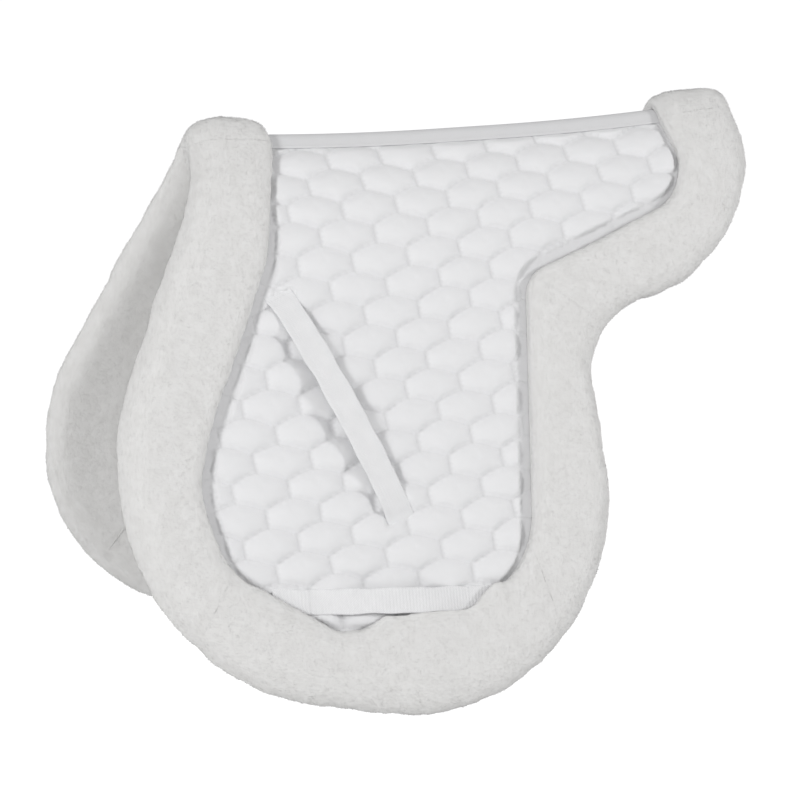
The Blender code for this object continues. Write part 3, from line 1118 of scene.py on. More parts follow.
@dataclass
class FleeceEdge:
    """The strips of fleece round a flap's edge."""

    pattern: Pattern
    side: Side
    finish: Finish
    pile: Pile
    profile: FleeceSection = field(default_factory=FleeceSection)
    spacing: float = 3.6
    overlap: float = 0.1
    girth_over: float = 11.0
    girth_ends: tuple = (-64.0, -245.0)
    lift_past: float = 20.0
    lift_run: float = 25.0
    over_from: float = 78.0
    over_past: float = 5.0
    over_runs: tuple = (25.0, 20.0)

    def span(self, strip: Strip) -> tuple[Array, Array]:
        """Window and outer points of a strip's ribs, with one more rib at each end.

        Args:
            strip: Which of the strips.

        Returns:
            Rows of window points and of outer points.
        """
        ribs = self.pattern.edge_ribs(self.spacing)
        rows = []
        for part in (0, 1):
            own = ribs[strip.value][part]
            before, after = 2 * own[0] - own[1], 2 * own[-1] - own[-2]
            if strip.value > 0:
                before = ribs[strip.value - 1][part][-2]
            if strip.value < len(ribs) - 1:
                after = ribs[strip.value + 1][part][1]
            rows.append(np.concatenate([[before], own, [after]]))
        return rows[0], rows[1]

    def lean(self, strip: Strip, x: Array) -> tuple[Array, Array]:
        """How the lip makes room for the girth loop, along the spine.

        Args:
            strip: Which of the strips.
            x: Place of each rib.

        Returns:
            Share by which the lip is lifted, and how far it leans over the window's edge.
        """
        if strip is not Strip.BOTTOM:
            return 0 * x, 0 * x
        start = x - self.pattern.window_pommel_x - self.girth_ends[0]
        end = self.pattern.window_cantle_x + self.girth_ends[1] - x
        past, run = self.lift_past, self.lift_run
        lift = smooth((start + past) / run) * smooth((end + past) / run)
        into, out = self.over_runs
        behind = smooth((start - self.over_from) / into) * smooth((end + self.over_past) / out)
        return lift, self.girth_over * behind

    def build(self, strip: Strip) -> Piece:
        """Make one strip of the edge.

        Args:
            strip: Which of the strips.

        Returns:
            The finished piece.
        """
        inside, outside = self.span(strip)
        past = 0.5 * self.overlap / self.spacing
        for rows in (inside, outside):
            rows[1] = rows[1] + (rows[1] - rows[2]) * past
            rows[-2] = rows[-2] + (rows[-2] - rows[-3]) * past
        width = np.linalg.norm(outside - inside, axis=1)
        across = (outside - inside) / width[:, None]
        lifted, over = self.lean(strip, inside[:, 0])
        w, d, share = self.profile.ring(width, self.pattern, lifted, over)
        x = inside[:, :1] + across[:, :1] * w
        s = inside[:, 1:] + across[:, 1:] * w
        grid = self.pattern.place(x, s, d, self.side)
        ends = [np.stack([w[i], d[i]], axis=1) for i in (1, -2)]
        label = self.side.prefix + strip.name.lower()
        piece = make_sweep(label + "_fleece", grid[1:-1], ends, own_ends=True)
        ready_for_pile(piece, share[1:-1], grid_normals(grid)[1:-1])
        self.pile.grow(piece, self.finish, 4 * self.side.value + strip.value)
        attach(piece, self.side.body)
        return declare_padded(piece, label + "_roll")


@dataclass
class FleeceCap:
    """Fleece over one end of the spine, half on each flap, and bending between them."""

    pattern: Pattern
    node: str
    window_x: float
    width: float
    along: int
    finish: Finish
    pile: Pile
    profile: FleeceSection = field(default_factory=FleeceSection)
    overlap: float = 0.8
    lifted: float = 0.65
    floor: float = 20.0
    underside: float = 40.0
    bend_to: float = 22.0
    steps: int = 12

    def build(self, side: Side) -> Piece:
        """Make the half of the cap on one flap.

        Args:
            side: Flap that the half follows.

        Returns:
            The finished piece.
        """
        pattern = self.pattern
        width = np.full(self.steps + 1, self.width)
        w, d, share = self.profile.ring(width, pattern, 0 * width + self.lifted, 0 * width)
        x = self.window_x + self.along * w
        end_out, end_height = pattern.bent(np.full(d.shape, pattern.panel_top + self.overlap), d)
        top, face = pattern.lining_top, pattern.lining_face
        depth_share = (d - top) / (face - top)
        under = -self.floor - depth_share * (self.underside - self.floor)
        middle = np.where(d <= top, under, np.where(d < 0, d * self.floor / -top, d))
        u = np.linspace(-self.overlap / self.bend_to, 1, self.steps + 1)[:, None]
        height = middle + (end_height - middle) * u * u
        z = pattern.ridge_z + pattern.spine_rise(x) + height
        grid = np.stack([x, side.value * u * end_out, z], axis=-1) * MM
        ends = [np.stack([w[i], d[i]], axis=1) for i in (0, -1)]
        name = side.prefix + self.node.replace("_fleece", "")
        piece = make_sweep(name, grid, ends, own_ends=True)
        ready_for_pile(piece, share, grid_normals(grid))
        self.pile.grow(piece, self.finish, 20 + 2 * self.along + side.value)
        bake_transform(piece)
        return declare_padded(piece, self.node)


@dataclass
class Quilting:
    """Honeycomb of padded pillows, drawn and blown up flat, once for both flaps."""

    pattern: Pattern
    straps: list
    pitch: float = 55.0
    row: float = 25.6
    short_crease: float = 16.0
    tilt: float = math.radians(-4)
    from_pommel: float = 135.0
    from_ridge: float = 36.0
    pillow: float = 7.4
    crease: float = -0.5
    bulge: float = -1.0
    crease_step: float = 2.6
    step: float = 2.8
    coarse: float = 14.0
    edge_flat: float = 3.5
    edge_more: float = 7.5
    edge_rise: float = 6.0
    edge_from: float = 70.0
    edge_to: float = 45.0
    edge_fade: float = 50.0
    room_gain: float = 1.5
    roundness: float = 2.2
    fullness: float = 0.85
    panel_margin: float = 3.0
    spare_margin: float = 5.0
    # Reach and run of the painted shade in the valley beside the fleece.
    shade_out: float = 1.5
    shade_run: float = 3.0
    wander: tuple = (1.1, 0.7)
    tape_half: float = 19.0
    tape_slope: float = 1.2
    top_margin: float = 8.0
    stiffness: float = 3.0
    pressure: float = 3.0
    growth: float = 0.005
    start_share: float = 0.9
    quality: int = 6
    frames: int = 12
    reach: float = 10.0

    def drift(self, points: Array) -> Array:
        """Pattern points moved a little, as hand-guided quilting wanders.

        Args:
            points: Points of the pattern as drawn.

        Returns:
            The points as sewn, one row each.
        """
        (x, s), (broad, fine) = points.T, self.wander
        dx = broad * np.sin(x / 31 + 1.3) * np.cos(s / 43) + fine * np.sin(s / 19 + x / 57)
        ds = broad * np.cos(x / 37 + s / 53) + fine * np.sin(x / 17 - s / 29 + 0.7)
        return points + np.stack([dx, ds], axis=1)

    @property
    def halves(self) -> tuple[float, float, float]:
        """Half the width of a cell, half its short crease and half its height."""
        return self.pitch / 2, self.short_crease / 2, self.row - self.short_crease / 2

    def cell(self) -> tuple[Array, int]:
        """Points of one pillow about its middle, and how many, the first ones, are creased.

        Returns:
            One row for each point, and the number of creased ones.
        """
        half, short, tall = self.halves
        corners = np.array([
            (half, short), (0, tall), (-half, short), (-half, -short), (0, -tall), (half, -short),
            (half, short),
        ])
        rim = []
        for a, b in zip(corners, corners[1:]):
            count = max(2, round(np.linalg.norm(b - a) / self.crease_step / 2) * 2)
            rim.append(a + (b - a) * np.arange(count)[:, None] / count)
        rim = np.concatenate(rim)
        inner = hex_points(rim, self.step, 0.5 * self.step)
        return np.concatenate([rim, inner]), len(rim)

    def puff(self, local: Array) -> Array:
        """Height of a pillow, from 0 at its creases to 1 in its middle.

        Args:
            local: Points about the pillow's middle.

        Returns:
            One height for each point.
        """
        half, short, tall = self.halves
        x, s = np.abs(local).T
        near_crease = np.maximum(x / half, ((tall - short) * x + half * s) / (half * tall))
        oval = np.hypot(x / half, s / tall)
        reach = oval + (near_crease - oval) * np.clip(near_crease, 0, 1) ** 2
        share = np.clip(1 - reach ** self.roundness, 0, 1) ** self.fullness
        return np.where(share > 1e-6, share, 0)

    def margin(self, points: Array, window: Array) -> Array:
        """Width of the flat valley beside the fleece, wider at the window's front and rear.

        Args:
            points: Points of the pattern.
            window: Outline of the window.

        Returns:
            One width for each point.
        """
        s, fade = points[:, 1], self.edge_fade
        below = window[:, 1].max() - self.edge_to - s
        more = smooth((s - self.edge_from) / fade) * smooth(below / fade)
        return self.edge_flat + self.edge_more * more

    def room(self, points: Array, window: Array) -> Array:
        """Greatest height that the fleece edge, the tape and the straps leave the quilting.

        Args:
            points: Points of the pattern.
            window: Outline of the window.

        Returns:
            One height for each point, under 0 beside the fleece.
        """
        inside = distance_inside(window, points) - self.margin(points, window)
        share = np.clip(inside / self.edge_rise, 0, 1)
        room = self.room_gain * self.pillow * np.sin(0.5 * math.pi * share)
        room = np.minimum(room, self.tape_slope * np.maximum(0, points[:, 1] - self.tape_half))
        for strap in self.straps:
            room = np.minimum(room, strap.room_under(points))
        return room

    def drawn(self) -> tuple[Sheet, Array]:
        """The quilting as drawn, and the height that each of its points may reach.

        Returns:
            The flat sheet, and one height for each of its points.
        """
        panel, window = self.pattern.outline(False), self.pattern.outline(True)
        template, rim = self.cell()
        puff = self.puff(template)
        cos, sin = math.cos(self.tilt), math.sin(self.tilt)
        turn = np.array([[cos, sin], [-sin, cos]])
        start = np.array([self.pattern.pommel_x + self.from_pommel, self.from_ridge])
        rows = math.ceil(window[:, 1].max() / self.row) + 1
        columns = math.ceil(np.abs(window[:, 0] - start[0]).max() / self.pitch) + 1
        number, points, heights, creases = {}, [], [], set()
        for row in range(-2, rows):
            for column in range(-columns, columns):
                middle = np.array([
                    self.pitch * (column + 0.5 + 0.5 * (row % 2)), self.row * row
                ])
                local = template + middle
                bulge = self.bulge * np.abs(np.sin(math.pi * local[:, 0] / (self.pitch / 2)))
                laid = np.stack([local[:, 0], local[:, 1] + bulge], axis=1)
                placed = self.drift(start + laid @ turn)
                out = distance_inside(panel, placed[:rim]) < self.panel_margin
                if (out & (placed[:rim, 1] > self.from_ridge)).any() or out.all():
                    continue
                if distance_inside(window, placed[:rim]).max() < 0:
                    continue
                ids = []
                for (x, s), share, key in zip(placed, puff, map(tuple, np.round(local, 2))):
                    if s < self.top_margin:
                        ids.append(None)
                        continue
                    if key not in number:
                        number[key] = len(points)
                        points.append((x, s))
                        heights.append(self.pillow * share + self.crease * (share == 0))
                    ids.append(number[key])
                ring = ids[:rim]
                pairs = [p for p in zip(ring, ring[1:] + ring[:1]) if None not in p]
                creases.update(tuple(sorted(p)) for p in pairs)
        points = np.array(points)
        spare = hex_points(panel, self.coarse, self.spare_margin)
        spare = [p for p in spare if np.abs(points - p).sum(1).min() >= self.coarse]
        inner = np.concatenate([points, spare])
        heights = np.concatenate([heights, np.zeros(len(spare))])
        sheet = cut_sheet(panel, inner, heights, sorted(creases), 0.0)
        room = np.maximum(0, self.room(sheet.flat, window))
        depth = np.where(room > 0, sheet.depth, np.minimum(sheet.depth, 0))
        return replace(sheet, depth=depth, shade=self.shade(sheet, window)), room

    def shade(self, sheet: Sheet, window: Array) -> Array:
        """How much painted shade each point takes: in the valley, or in a crease that runs down.

        Args:
            sheet: The quilting as drawn.
            window: Outline of the window.

        Returns:
            One share from 0 to 1 for each point.
        """
        inside = distance_inside(window, sheet.flat)
        margin = self.margin(sheet.flat, window)
        shade = smooth((margin + self.shade_out - inside) / self.shade_run)
        shade = shade * (margin > self.edge_flat + 1)
        for a, b in sheet.creases:
            run = np.abs(sheet.flat[b] - sheet.flat[a])
            if run[1] > 2 * run[0]:
                shade[[a, b]] = 1
        return shade

    def blown(self, sheet: Sheet, room: Array) -> Array:
        """Blow up the pillows as cloth that is sewn down at its creases.

        Args:
            sheet: The quilting as drawn.
            room: Height that each point may reach.

        Returns:
            How far each point moves, along x, s and outward.
        """
        soft = (sheet.depth > 0) & (room > 0)
        corners = np.array(sheet.triangles)
        corners = corners[soft[corners].any(1)]
        used, corners = np.unique(corners, return_inverse=True)
        height = np.minimum(self.start_share * sheet.depth, room)
        start = np.column_stack([sheet.flat, height])[used] * MM
        flat = make_object("quilting_flat", start, corners.reshape(-1, 3))
        pin = flat.vertex_groups.new(name="sewn")
        pin.add([int(i) for i in np.flatnonzero(~soft[used])], 1.0, "REPLACE")
        cloth = flat.modifiers.new("cloth", "CLOTH")
        settings = cloth.settings
        settings.quality = self.quality
        settings.vertex_group_mass = "sewn"
        settings.effector_weights.gravity = 0
        settings.use_pressure = True
        settings.uniform_pressure_force = self.pressure
        settings.shrink_min = -self.growth
        settings.bending_stiffness = self.stiffness
        cloth.collision_settings.use_collision = False
        for number in range(1, self.frames + 1):
            bpy.context.scene.frame_set(number)
        graph = bpy.context.evaluated_depsgraph_get()
        ended = np.empty(3 * len(used), np.float32)
        flat.evaluated_get(graph).data.vertices.foreach_get("co", ended)
        bpy.context.scene.frame_set(1)
        bpy.data.objects.remove(flat)
        moved = np.zeros((len(sheet.flat), 3))
        moved[:, 2] = np.minimum(sheet.depth, room)
        change = ended.reshape(-1, 3).astype(float) / MM
        change[:, :2] -= sheet.flat[used]
        length = np.linalg.norm(change, axis=1)[:, None]
        moved[used] = change * np.minimum(1, self.reach / np.maximum(length, 1e-6))
        moved[:, 2] = np.clip(moved[:, 2], self.crease, room)
        return moved

    def sheet(self) -> Sheet:
        """The finished quilting, blown up.

        Returns:
            The sheet, with its points moved as the filling moves them.
        """
        sheet, room = self.drawn()
        moved = self.blown(sheet, room)
        return replace(sheet, flat=sheet.flat + moved[:, :2], depth=moved[:, 2])


@dataclass
class QuiltedPanel:
    """Quilted cotton, its wadding and the fleece lining of one flap."""

    pattern: Pattern
    side: Side
    quilting: Sheet
    cotton: Finish
    filling: Finish
    wool: Finish
    pile: Pile
    sag: float = 0.22
    cotton_thick: float = 1.2
    layer_gap: float = 0.4
    stitch_lift: float = 0.1
    lining_density: float = 0.105
    lining_tuft: float = 0.45
    coarse: float = 14.0
    fine: float = 4.2

    def layer(self, name: str, upper: Sheet, lower: Sheet) -> Piece:
        """Make one closed layer from its upper and its lower sheet, cut to one outline.

        Args:
            name: Name of the piece.
            upper: Sheet of its outer face.
            lower: Sheet of its inner face.

        Returns:
            The piece, without a finish.
        """
        points, faces = [], []
        for sheet, first in ((upper, 0), (lower, len(upper.flat))):
            step = -1 if first else 1
            faces += [[first + i for i in t[::step]] for t in sheet.triangles]
            hung = sheet.flat[:, 1] + self.sag * np.maximum(0, sheet.depth)
            points.append(self.pattern.place(sheet.flat[:, 0], hung, sheet.depth, self.side))
        below = [len(upper.flat) + i for i in lower.rim]
        for i, above in enumerate(upper.rim):
            faces.append((above, upper.rim[i - 1], below[i - 1], below[i]))
        piece = make_object(name, np.concatenate(points), faces)
        turn_outward(piece.data)
        return piece

    def declare(self, piece: Piece, node: str) -> Piece:
        """Attach a layer to the body it rides on, and hide the node that it stands for."""
        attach(piece, self.side.body)
        return declare_padded(piece, self.side.prefix + node)

    def build_face(self) -> Piece:
        """Make the quilted cotton.

        Returns:
            The finished piece.
        """
        lower = plain_sheet(self.pattern.outline(False), self.coarse, -self.cotton_thick)
        piece = self.layer(self.side.prefix + "quilting", self.quilting, lower)
        # Painted shade for the cotton's colour, in its creases and in the valley beside the fleece,
        # kept as the crease attribute.
        shade = np.zeros(len(piece.data.vertices))
        shade[:len(self.quilting.shade)] = self.quilting.shade
        store(piece, "crease", shade)
        piece.data.materials.append(self.cotton)
        return self.declare(piece, "quilted_face")

    def stitch_rows(self) -> list[Array]:
        """Lines of stitches in the creases, where the window shows them.

        Returns:
            Points of each line, in metres.
        """
        sheet, rows = self.quilting, []
        seen = distance_inside(self.pattern.outline(True), sheet.flat) > 0
        for a, b in sheet.creases:
            if seen[a] and seen[b]:
                x, s = sheet.flat[[a, b]].T
                depth = sheet.depth[[a, b]] + self.stitch_lift
                rows.append(self.pattern.place(x, s, depth, self.side))
        return rows

    def build_filling(self) -> Piece:
        """Make the wadding between the cotton and the lining.

        Returns:
            The finished piece.
        """
        outline = self.pattern.outline(False)
        upper = plain_sheet(outline, self.coarse, -self.cotton_thick - self.layer_gap)
        lower = plain_sheet(outline, self.coarse, -self.pattern.panel)
        piece = self.layer(self.side.prefix + "filling", upper, lower)
        piece.data.materials.append(self.filling)
        return self.declare(piece, "wadding")

    def build_lining(self) -> Piece:
        """Make the fleece that lies on the horse.

        Returns:
            The finished piece.
        """
        outline = self.pattern.outline(True)
        upper = plain_sheet(outline, self.coarse, self.pattern.lining_top)
        lower = plain_sheet(outline, self.fine, self.pattern.lining_face)
        piece = self.layer(self.side.prefix + "lining", upper, lower)
        share = np.ones(len(piece.data.vertices))
        share[:len(upper.flat)] = 0
        normal = np.empty(3 * len(share), np.float32)
        piece.data.vertex_normals.foreach_get("vector", normal)
        for name in ("pile", "grow"):
            store(piece, name, share)
        store(piece, "outward", normal.reshape(-1, 3))
        sparse = replace(self.pile, density=self.lining_density, width=self.lining_tuft)
        sparse.grow(piece, self.wool, 40 + self.side.value)
        return self.declare(piece, "fleece_lining")


def lay_webbing(piece: Piece, finish: Finish, along: Array, across: Array) -> None:
    """Give webbing its finish, and its places laid flat, for the weave.

    Args:
        piece: Webbing or tape, swept from its rings.
        finish: Its material.
        along: Place of each point along it, by ring.
        across: Place of each point across it.
    """
    lay = np.stack(np.broadcast_arrays(along, across, 0.0), axis=-1) * MM
    store(piece, "lay", lay.reshape(-1, 3))
    piece.data.materials.append(finish)


@dataclass
class Strap:
    """Webbing sewn down at both ends, standing off the quilting between them."""

    pattern: Pattern
    node: str
    start: tuple
    end: tuple
    sewn: float
    width: float
    bow: float
    finish: Finish
    rib: float = 0.0
    rib_height: float = 0.0
    curl: float = 0.0
    step: float = 2.5
    thick: float = 1.6
    clearance: float = 0.4
    fullness: float = 1.0
    tuck: float = 0.0
    tuck_run: float = 9.0
    tuck_clear: float = 0.75
    side_slope: float = 1.3
    end_slope: float = 4.0
    edge_waves: tuple = ((0.35, 9.0, 0.6), (0.3, 5.3, 0.0))
    curl_from: float = 0.45
    curl_sway: float = 0.35
    curl_run: float = 7.0
    stitch_half: float = 0.86
    stitch_inset: float = 1.8
    stitch_above: float = 1.15
    stitch_points: int = 12
    roundness: int = 10
    length_steps: int = 400
    across: int = 15

    @property
    def run(self) -> float:
        """Distance between the strap's ends on the pattern."""
        return math.dist(self.start, self.end)

    @property
    def along(self) -> Array:
        """Direction of the strap on the pattern."""
        return (np.array(self.end) - np.array(self.start)) / self.run

    @property
    def sideways(self) -> Array:
        """Direction across the strap on the pattern."""
        return np.array([-self.along[1], self.along[0]])

    def low(self, along: Array) -> Array:
        """Depth of the strap's under face at distances from its start.

        Args:
            along: Distance from its start.

        Returns:
            One depth for each distance.
        """
        share = np.clip((along - self.sewn) / (self.run - 2 * self.sewn), 0, 1)
        to_end = np.minimum(along, self.run - along)
        sunk = self.tuck * (1 - smooth(to_end / self.tuck_run))
        return self.clearance + self.bow * np.sin(math.pi * share) ** self.fullness - sunk

    def room_under(self, points: Array) -> Array:
        """Greatest height of the quilting at pattern points, so that it clears the strap.

        Args:
            points: Points of the pattern.

        Returns:
            One height for each point.
        """
        local = points - np.array(self.start)
        u = local @ self.along
        hidden = self.tuck_clear * self.tuck_run if self.tuck else 0.0
        past = np.maximum(0, np.maximum(hidden - u, u - self.run + hidden))
        beside = np.maximum(0, np.abs(local @ self.sideways) - 0.5 * self.width)
        free = np.maximum(0, self.low(np.clip(u, 0, self.run)) - self.clearance)
        return free + np.hypot(self.end_slope * past, self.side_slope * beside)

    def surface(self, u: Array, v: Array, t: Array, side: Side) -> Array:
        """Points of the strap, in metres.

        Args:
            u: Distance from its start.
            v: Place across it, from -1 to 1.
            t: Place through it, from -1 to 1.
            side: Flap that it is on.

        Returns:
            One row for each point.
        """
        wave = sum(high * np.sin(u / run + turn) for high, run, turn in self.edge_waves)
        out = v * (0.5 * self.width + wave * np.abs(v) ** 4)
        free = smooth((self.low(u) - self.clearance) / 3 + 0.2)
        curl = self.curl * smooth((v - self.curl_from) / (1 - self.curl_from))
        curl = curl * (1 - self.curl_sway + self.curl_sway * np.sin(u / self.curl_run + 1))
        d = self.low(u) + 0.5 * self.thick * (1 + t) + curl * free
        if self.rib:
            d = d + self.rib_height * t * np.abs(np.cos(math.pi * u / self.rib))
        x = self.start[0] + self.along[0] * u + self.sideways[0] * out
        s = self.start[1] + self.along[1] * u + self.sideways[1] * out
        return self.pattern.place(x, s, d, side)

    def stitch_rows(self, side: Side) -> list[Array]:
        """Lines of stitches that hold the strap's two ends.

        Args:
            side: Flap that the strap is on.

        Returns:
            Points of both lines, in metres.
        """
        v = np.linspace(-self.stitch_half, self.stitch_half, self.stitch_points)
        near, above = self.sewn - self.stitch_inset, 0 * v + self.stitch_above
        return [self.surface(0 * v + u, v, above, side) for u in (near, self.run - near)]

    def build(self, side: Side) -> Piece:
        """Make the strap on one flap.

        Args:
            side: Flap that it is sewn to.

        Returns:
            The finished piece.
        """
        u = np.linspace(0, self.run, round(self.run / self.step) + 1)[:, None]
        top = np.sin(np.linspace(-0.5, 0.5, self.across) * math.pi)
        v = np.concatenate([top, top[-2:0:-1]])[None, :]
        rounding = np.sqrt(1 - np.abs(v) ** self.roundness)
        t = np.where(np.arange(v.size) < self.across, rounding, -rounding)
        out = 0.5 * self.width * v
        flat = np.stack([out[0], t[0] * self.thick], axis=1)
        name = side.prefix + self.node.replace("_", "_webbing_")
        piece = make_sweep(name, self.surface(u, v, t, side), (flat, flat))
        along, across = (u, out) if self.rib else ((u - out) / SQRT2, (u + out) / SQRT2)
        lay_webbing(piece, self.finish, along, across)
        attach(piece, side.body)
        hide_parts(side.prefix + self.node)
        return piece


@dataclass(frozen=True)
class Stitching:
    """Rows of lockstitch: short threads with gaps between them. Sizes are in millimetres."""

    finish: Finish
    pitch: float = 3.0
    length: float = 2.3
    thread: float = 0.4
    wobble: float = 0.12
    segments: int = 5
    rings: int = 3
    seed: int = 7

    def tree(self) -> Tree:
        """The geometry tree, built once, with these sizes as named inputs.

        Returns:
            The tree, which both flaps share.
        """
        made = bpy.data.node_groups.get("stitch_rows")
        if made:
            return made
        inputs = {name: "Float" for name in ("Pitch", "Length", "Thread", "Wobble")}
        tree, given = new_tree(
            "stitch_rows", "Geometry",
            {"Geometry": "Geometry", **inputs, "Seed": "Int", "Finish": "Material"},
            {"Geometry": "Geometry"},
        )
        rows = add_node(tree, "GeometryNodeMeshToCurve", {0: given["Geometry"]}).outputs[0]
        points = add_node(tree, "GeometryNodeCurveToPoints", {
            "Curve": rows, "Length": given["Pitch"],
        }, mode="LENGTH").outputs
        sway = add_node(tree, "FunctionNodeRandomValue", {
            0: (-1, -1, -1), 1: (1, 1, 1), "Seed": given["Seed"],
        }, data_type="FLOAT_VECTOR").outputs[0]
        sway = vector_node(tree, "SCALE", sway, given["Wobble"])
        turned = add_node(tree, "FunctionNodeAlignRotationToVector", {
            "Vector": vector_node(tree, "ADD", points["Tangent"], sway),
        }, axis="X").outputs[0]
        size = add_node(tree, "ShaderNodeCombineXYZ", {
            0: given["Length"], 1: given["Thread"], 2: given["Thread"],
        }).outputs[0]
        stitch = add_node(tree, "GeometryNodeMeshUVSphere", {
            "Segments": self.segments, "Rings": self.rings, "Radius": 0.5,
        }).outputs[0]
        stitches = add_node(tree, "GeometryNodeInstanceOnPoints", {
            "Points": points["Points"], "Instance": stitch, "Rotation": turned, "Scale": size,
        }).outputs[0]
        stitches = add_node(tree, "GeometryNodeRealizeInstances", {0: stitches}).outputs[0]
        return end_tree(tree, stitches, given["Finish"])

    def build(self, side: Side, rows: list[Array]) -> Piece:
        """Sew the rows on one flap.

        Args:
            side: Flap that the rows are on.
            rows: Points of each row, in metres.

        Returns:
            The finished piece.
        """
        edges, first = [], 0
        for row in rows:
            edges += [(first + i, first + i + 1) for i in range(len(row) - 1)]
            first += len(row)
        points = np.concatenate(rows)
        piece = make_object(side.prefix + "stitching", points, [], edges, smooth=False)
        apply_nodes(piece, self.tree(), {
            "Pitch": self.pitch * MM,
            "Length": self.length * MM,
            "Thread": self.thread * MM,
            "Wobble": self.wobble,
            "Seed": self.seed,
            "Finish": self.finish,
        })
        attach(piece, side.body)
        return piece


@dataclass
class Spine:
    """Binding tape over the ridge, the seam that joins the flaps, and the webbing under it."""

    pattern: Pattern
    tape: Finish
    webbing: Finish
    tape_half: float = 19.0
    tape_thick: float = 1.2
    seam_half: float = 2.6
    webbing_half: float = 5.2
    webbing_thick: float = 1.8
    seam_depth: float = 14.0
    clearance: float = 0.4
    tuck_depth: float = 30.0
    bend_to: float = 11.0
    tape_points: int = 13
    tape_edge: tuple = ((0.7, 0.85), (1.0, 0.5), (0.7, 0.15))
    pucker: float = 0.12
    pucker_run: float = 2.1
    pucker_at: float = 15.0
    pucker_half: float = 3.0
    stitch_inset: float = 2.5
    stitch_lift: float = 0.1
    stitch_from: int = 8
    bar_points: int = 20
    bar_power: float = 0.25
    step: float = 4.0

    def stations(self) -> Array:
        """Places along the spine.

        Returns:
            Distances along the spine, from the pommel.
        """
        first = self.pattern.window_pommel_x - self.tuck_depth
        last = self.pattern.window_cantle_x + self.tuck_depth
        return np.linspace(first, last, round((last - first) / self.step) + 1)

    def build_tape(self, side: Side) -> Piece:
        """Make the half of the binding tape on one flap.

        Args:
            side: Flap that the half follows.

        Returns:
            The finished piece.
        """
        x = self.stations()[:, None]
        low, thick = self.clearance, self.tape_thick
        s = np.linspace(0, self.tape_half, self.tape_points)
        out, up = np.array(self.tape_edge).T
        d = np.full(self.tape_points, low)
        d = np.concatenate([d + thick, low + thick * up, d])[None, :]
        s = np.concatenate([s, self.tape_half + 0.5 * thick * out, s[::-1]])[None, :]
        pucker = np.sin(x / self.pucker_run) * (np.abs(s - self.pucker_at) < self.pucker_half)
        grid = self.pattern.place(x, s, d + self.pucker * pucker * (d > low), side)
        flat = np.stack([s[0], d[0]], axis=1)
        piece = make_sweep(side.prefix + "binding", grid, (flat, flat))
        lay_webbing(piece, self.tape, x, s)
        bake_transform(piece)
        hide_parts("spine_binding")
        return piece

    def stitch_rows(self, side: Side) -> list[Array]:
        """Line of stitches along the tape's edge on one flap.

        Args:
            side: Flap that the line is on.

        Returns:
            Points of the line, in metres.
        """
        x = self.stations()[self.stitch_from:-self.stitch_from]
        top = self.clearance + self.tape_thick + self.stitch_lift
        return [self.pattern.place(x, self.tape_half - self.stitch_inset, top, side)]

    def build_bar(self, node: str, half: float, top: float, bottom: float) -> Piece:
        """Make a flat strip along the spine between two heights under the ridge.

        Args:
            node: Node that it replaces.
            half: Half of its width.
            top: Height of its upper face over the ridge.
            bottom: Height of its lower face.

        Returns:
            The finished piece.
        """
        x = self.stations()[:, None]
        angle = np.linspace(0, 2 * math.pi, self.bar_points, endpoint=False)[None, :]
        y, z = (np.sign(a) * np.abs(a) ** self.bar_power for a in (np.cos(angle), np.sin(angle)))
        y, z = half * y, 0.5 * (top + bottom) + 0.5 * (top - bottom) * z
        level = self.pattern.ridge_z + self.pattern.spine_rise(x)
        grid = np.stack(np.broadcast_arrays(x, y, level + z), axis=-1) * MM
        flat = np.stack([y[0], z[0]], axis=1)
        piece = make_sweep(node.replace("spine", "ridge"), grid, (flat, flat))
        lay_webbing(piece, self.webbing, x, y)
        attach(piece, "spine")
        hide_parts(node)
        return piece

    def build(self) -> list[Piece]:
        """Make all the pieces of the spine.

        Returns:
            The pieces: both halves of the tape, the seam and the webbing.
        """
        under = -self.seam_depth - self.clearance
        return [
            self.build_tape(Side.NEAR),
            self.build_tape(Side.OFF),
            self.build_bar("spine_seam", self.seam_half, -self.clearance, -self.seam_depth),
            self.build_bar("spine_webbing", self.webbing_half, under, under - self.webbing_thick),
        ]


def direction_to(azimuth: float, elevation: float) -> Vector:
    """Direction from the pad to a place at these angles, in degrees."""
    a, e = math.radians(azimuth), math.radians(elevation)
    return Vector((math.sin(a) * math.cos(e), -math.cos(a) * math.cos(e), math.sin(e)))


def set_up(name: str, data: bpy.types.ID, place: Vector, back: Vector, roll: float = 0) -> Piece:
    """Put a camera or a lamp in its place, turned from a direction and rolled, in degrees.

    Args:
        name: Name of its object.
        data: The camera or the lamp.
        place: Where it stands.
        back: Direction from what it looks at to its place.
        roll: How far it is rolled, in degrees.

    Returns:
        The object.
    """
    holder = bpy.data.objects.new(name, data)
    bpy.context.collection.objects.link(holder)
    holder.location = place
    level = (-back).to_track_quat("-Z", "Y").to_matrix().to_4x4()
    holder.rotation_euler = (level @ Matrix.Rotation(math.radians(roll), 4, "Z")).to_euler()
    return holder


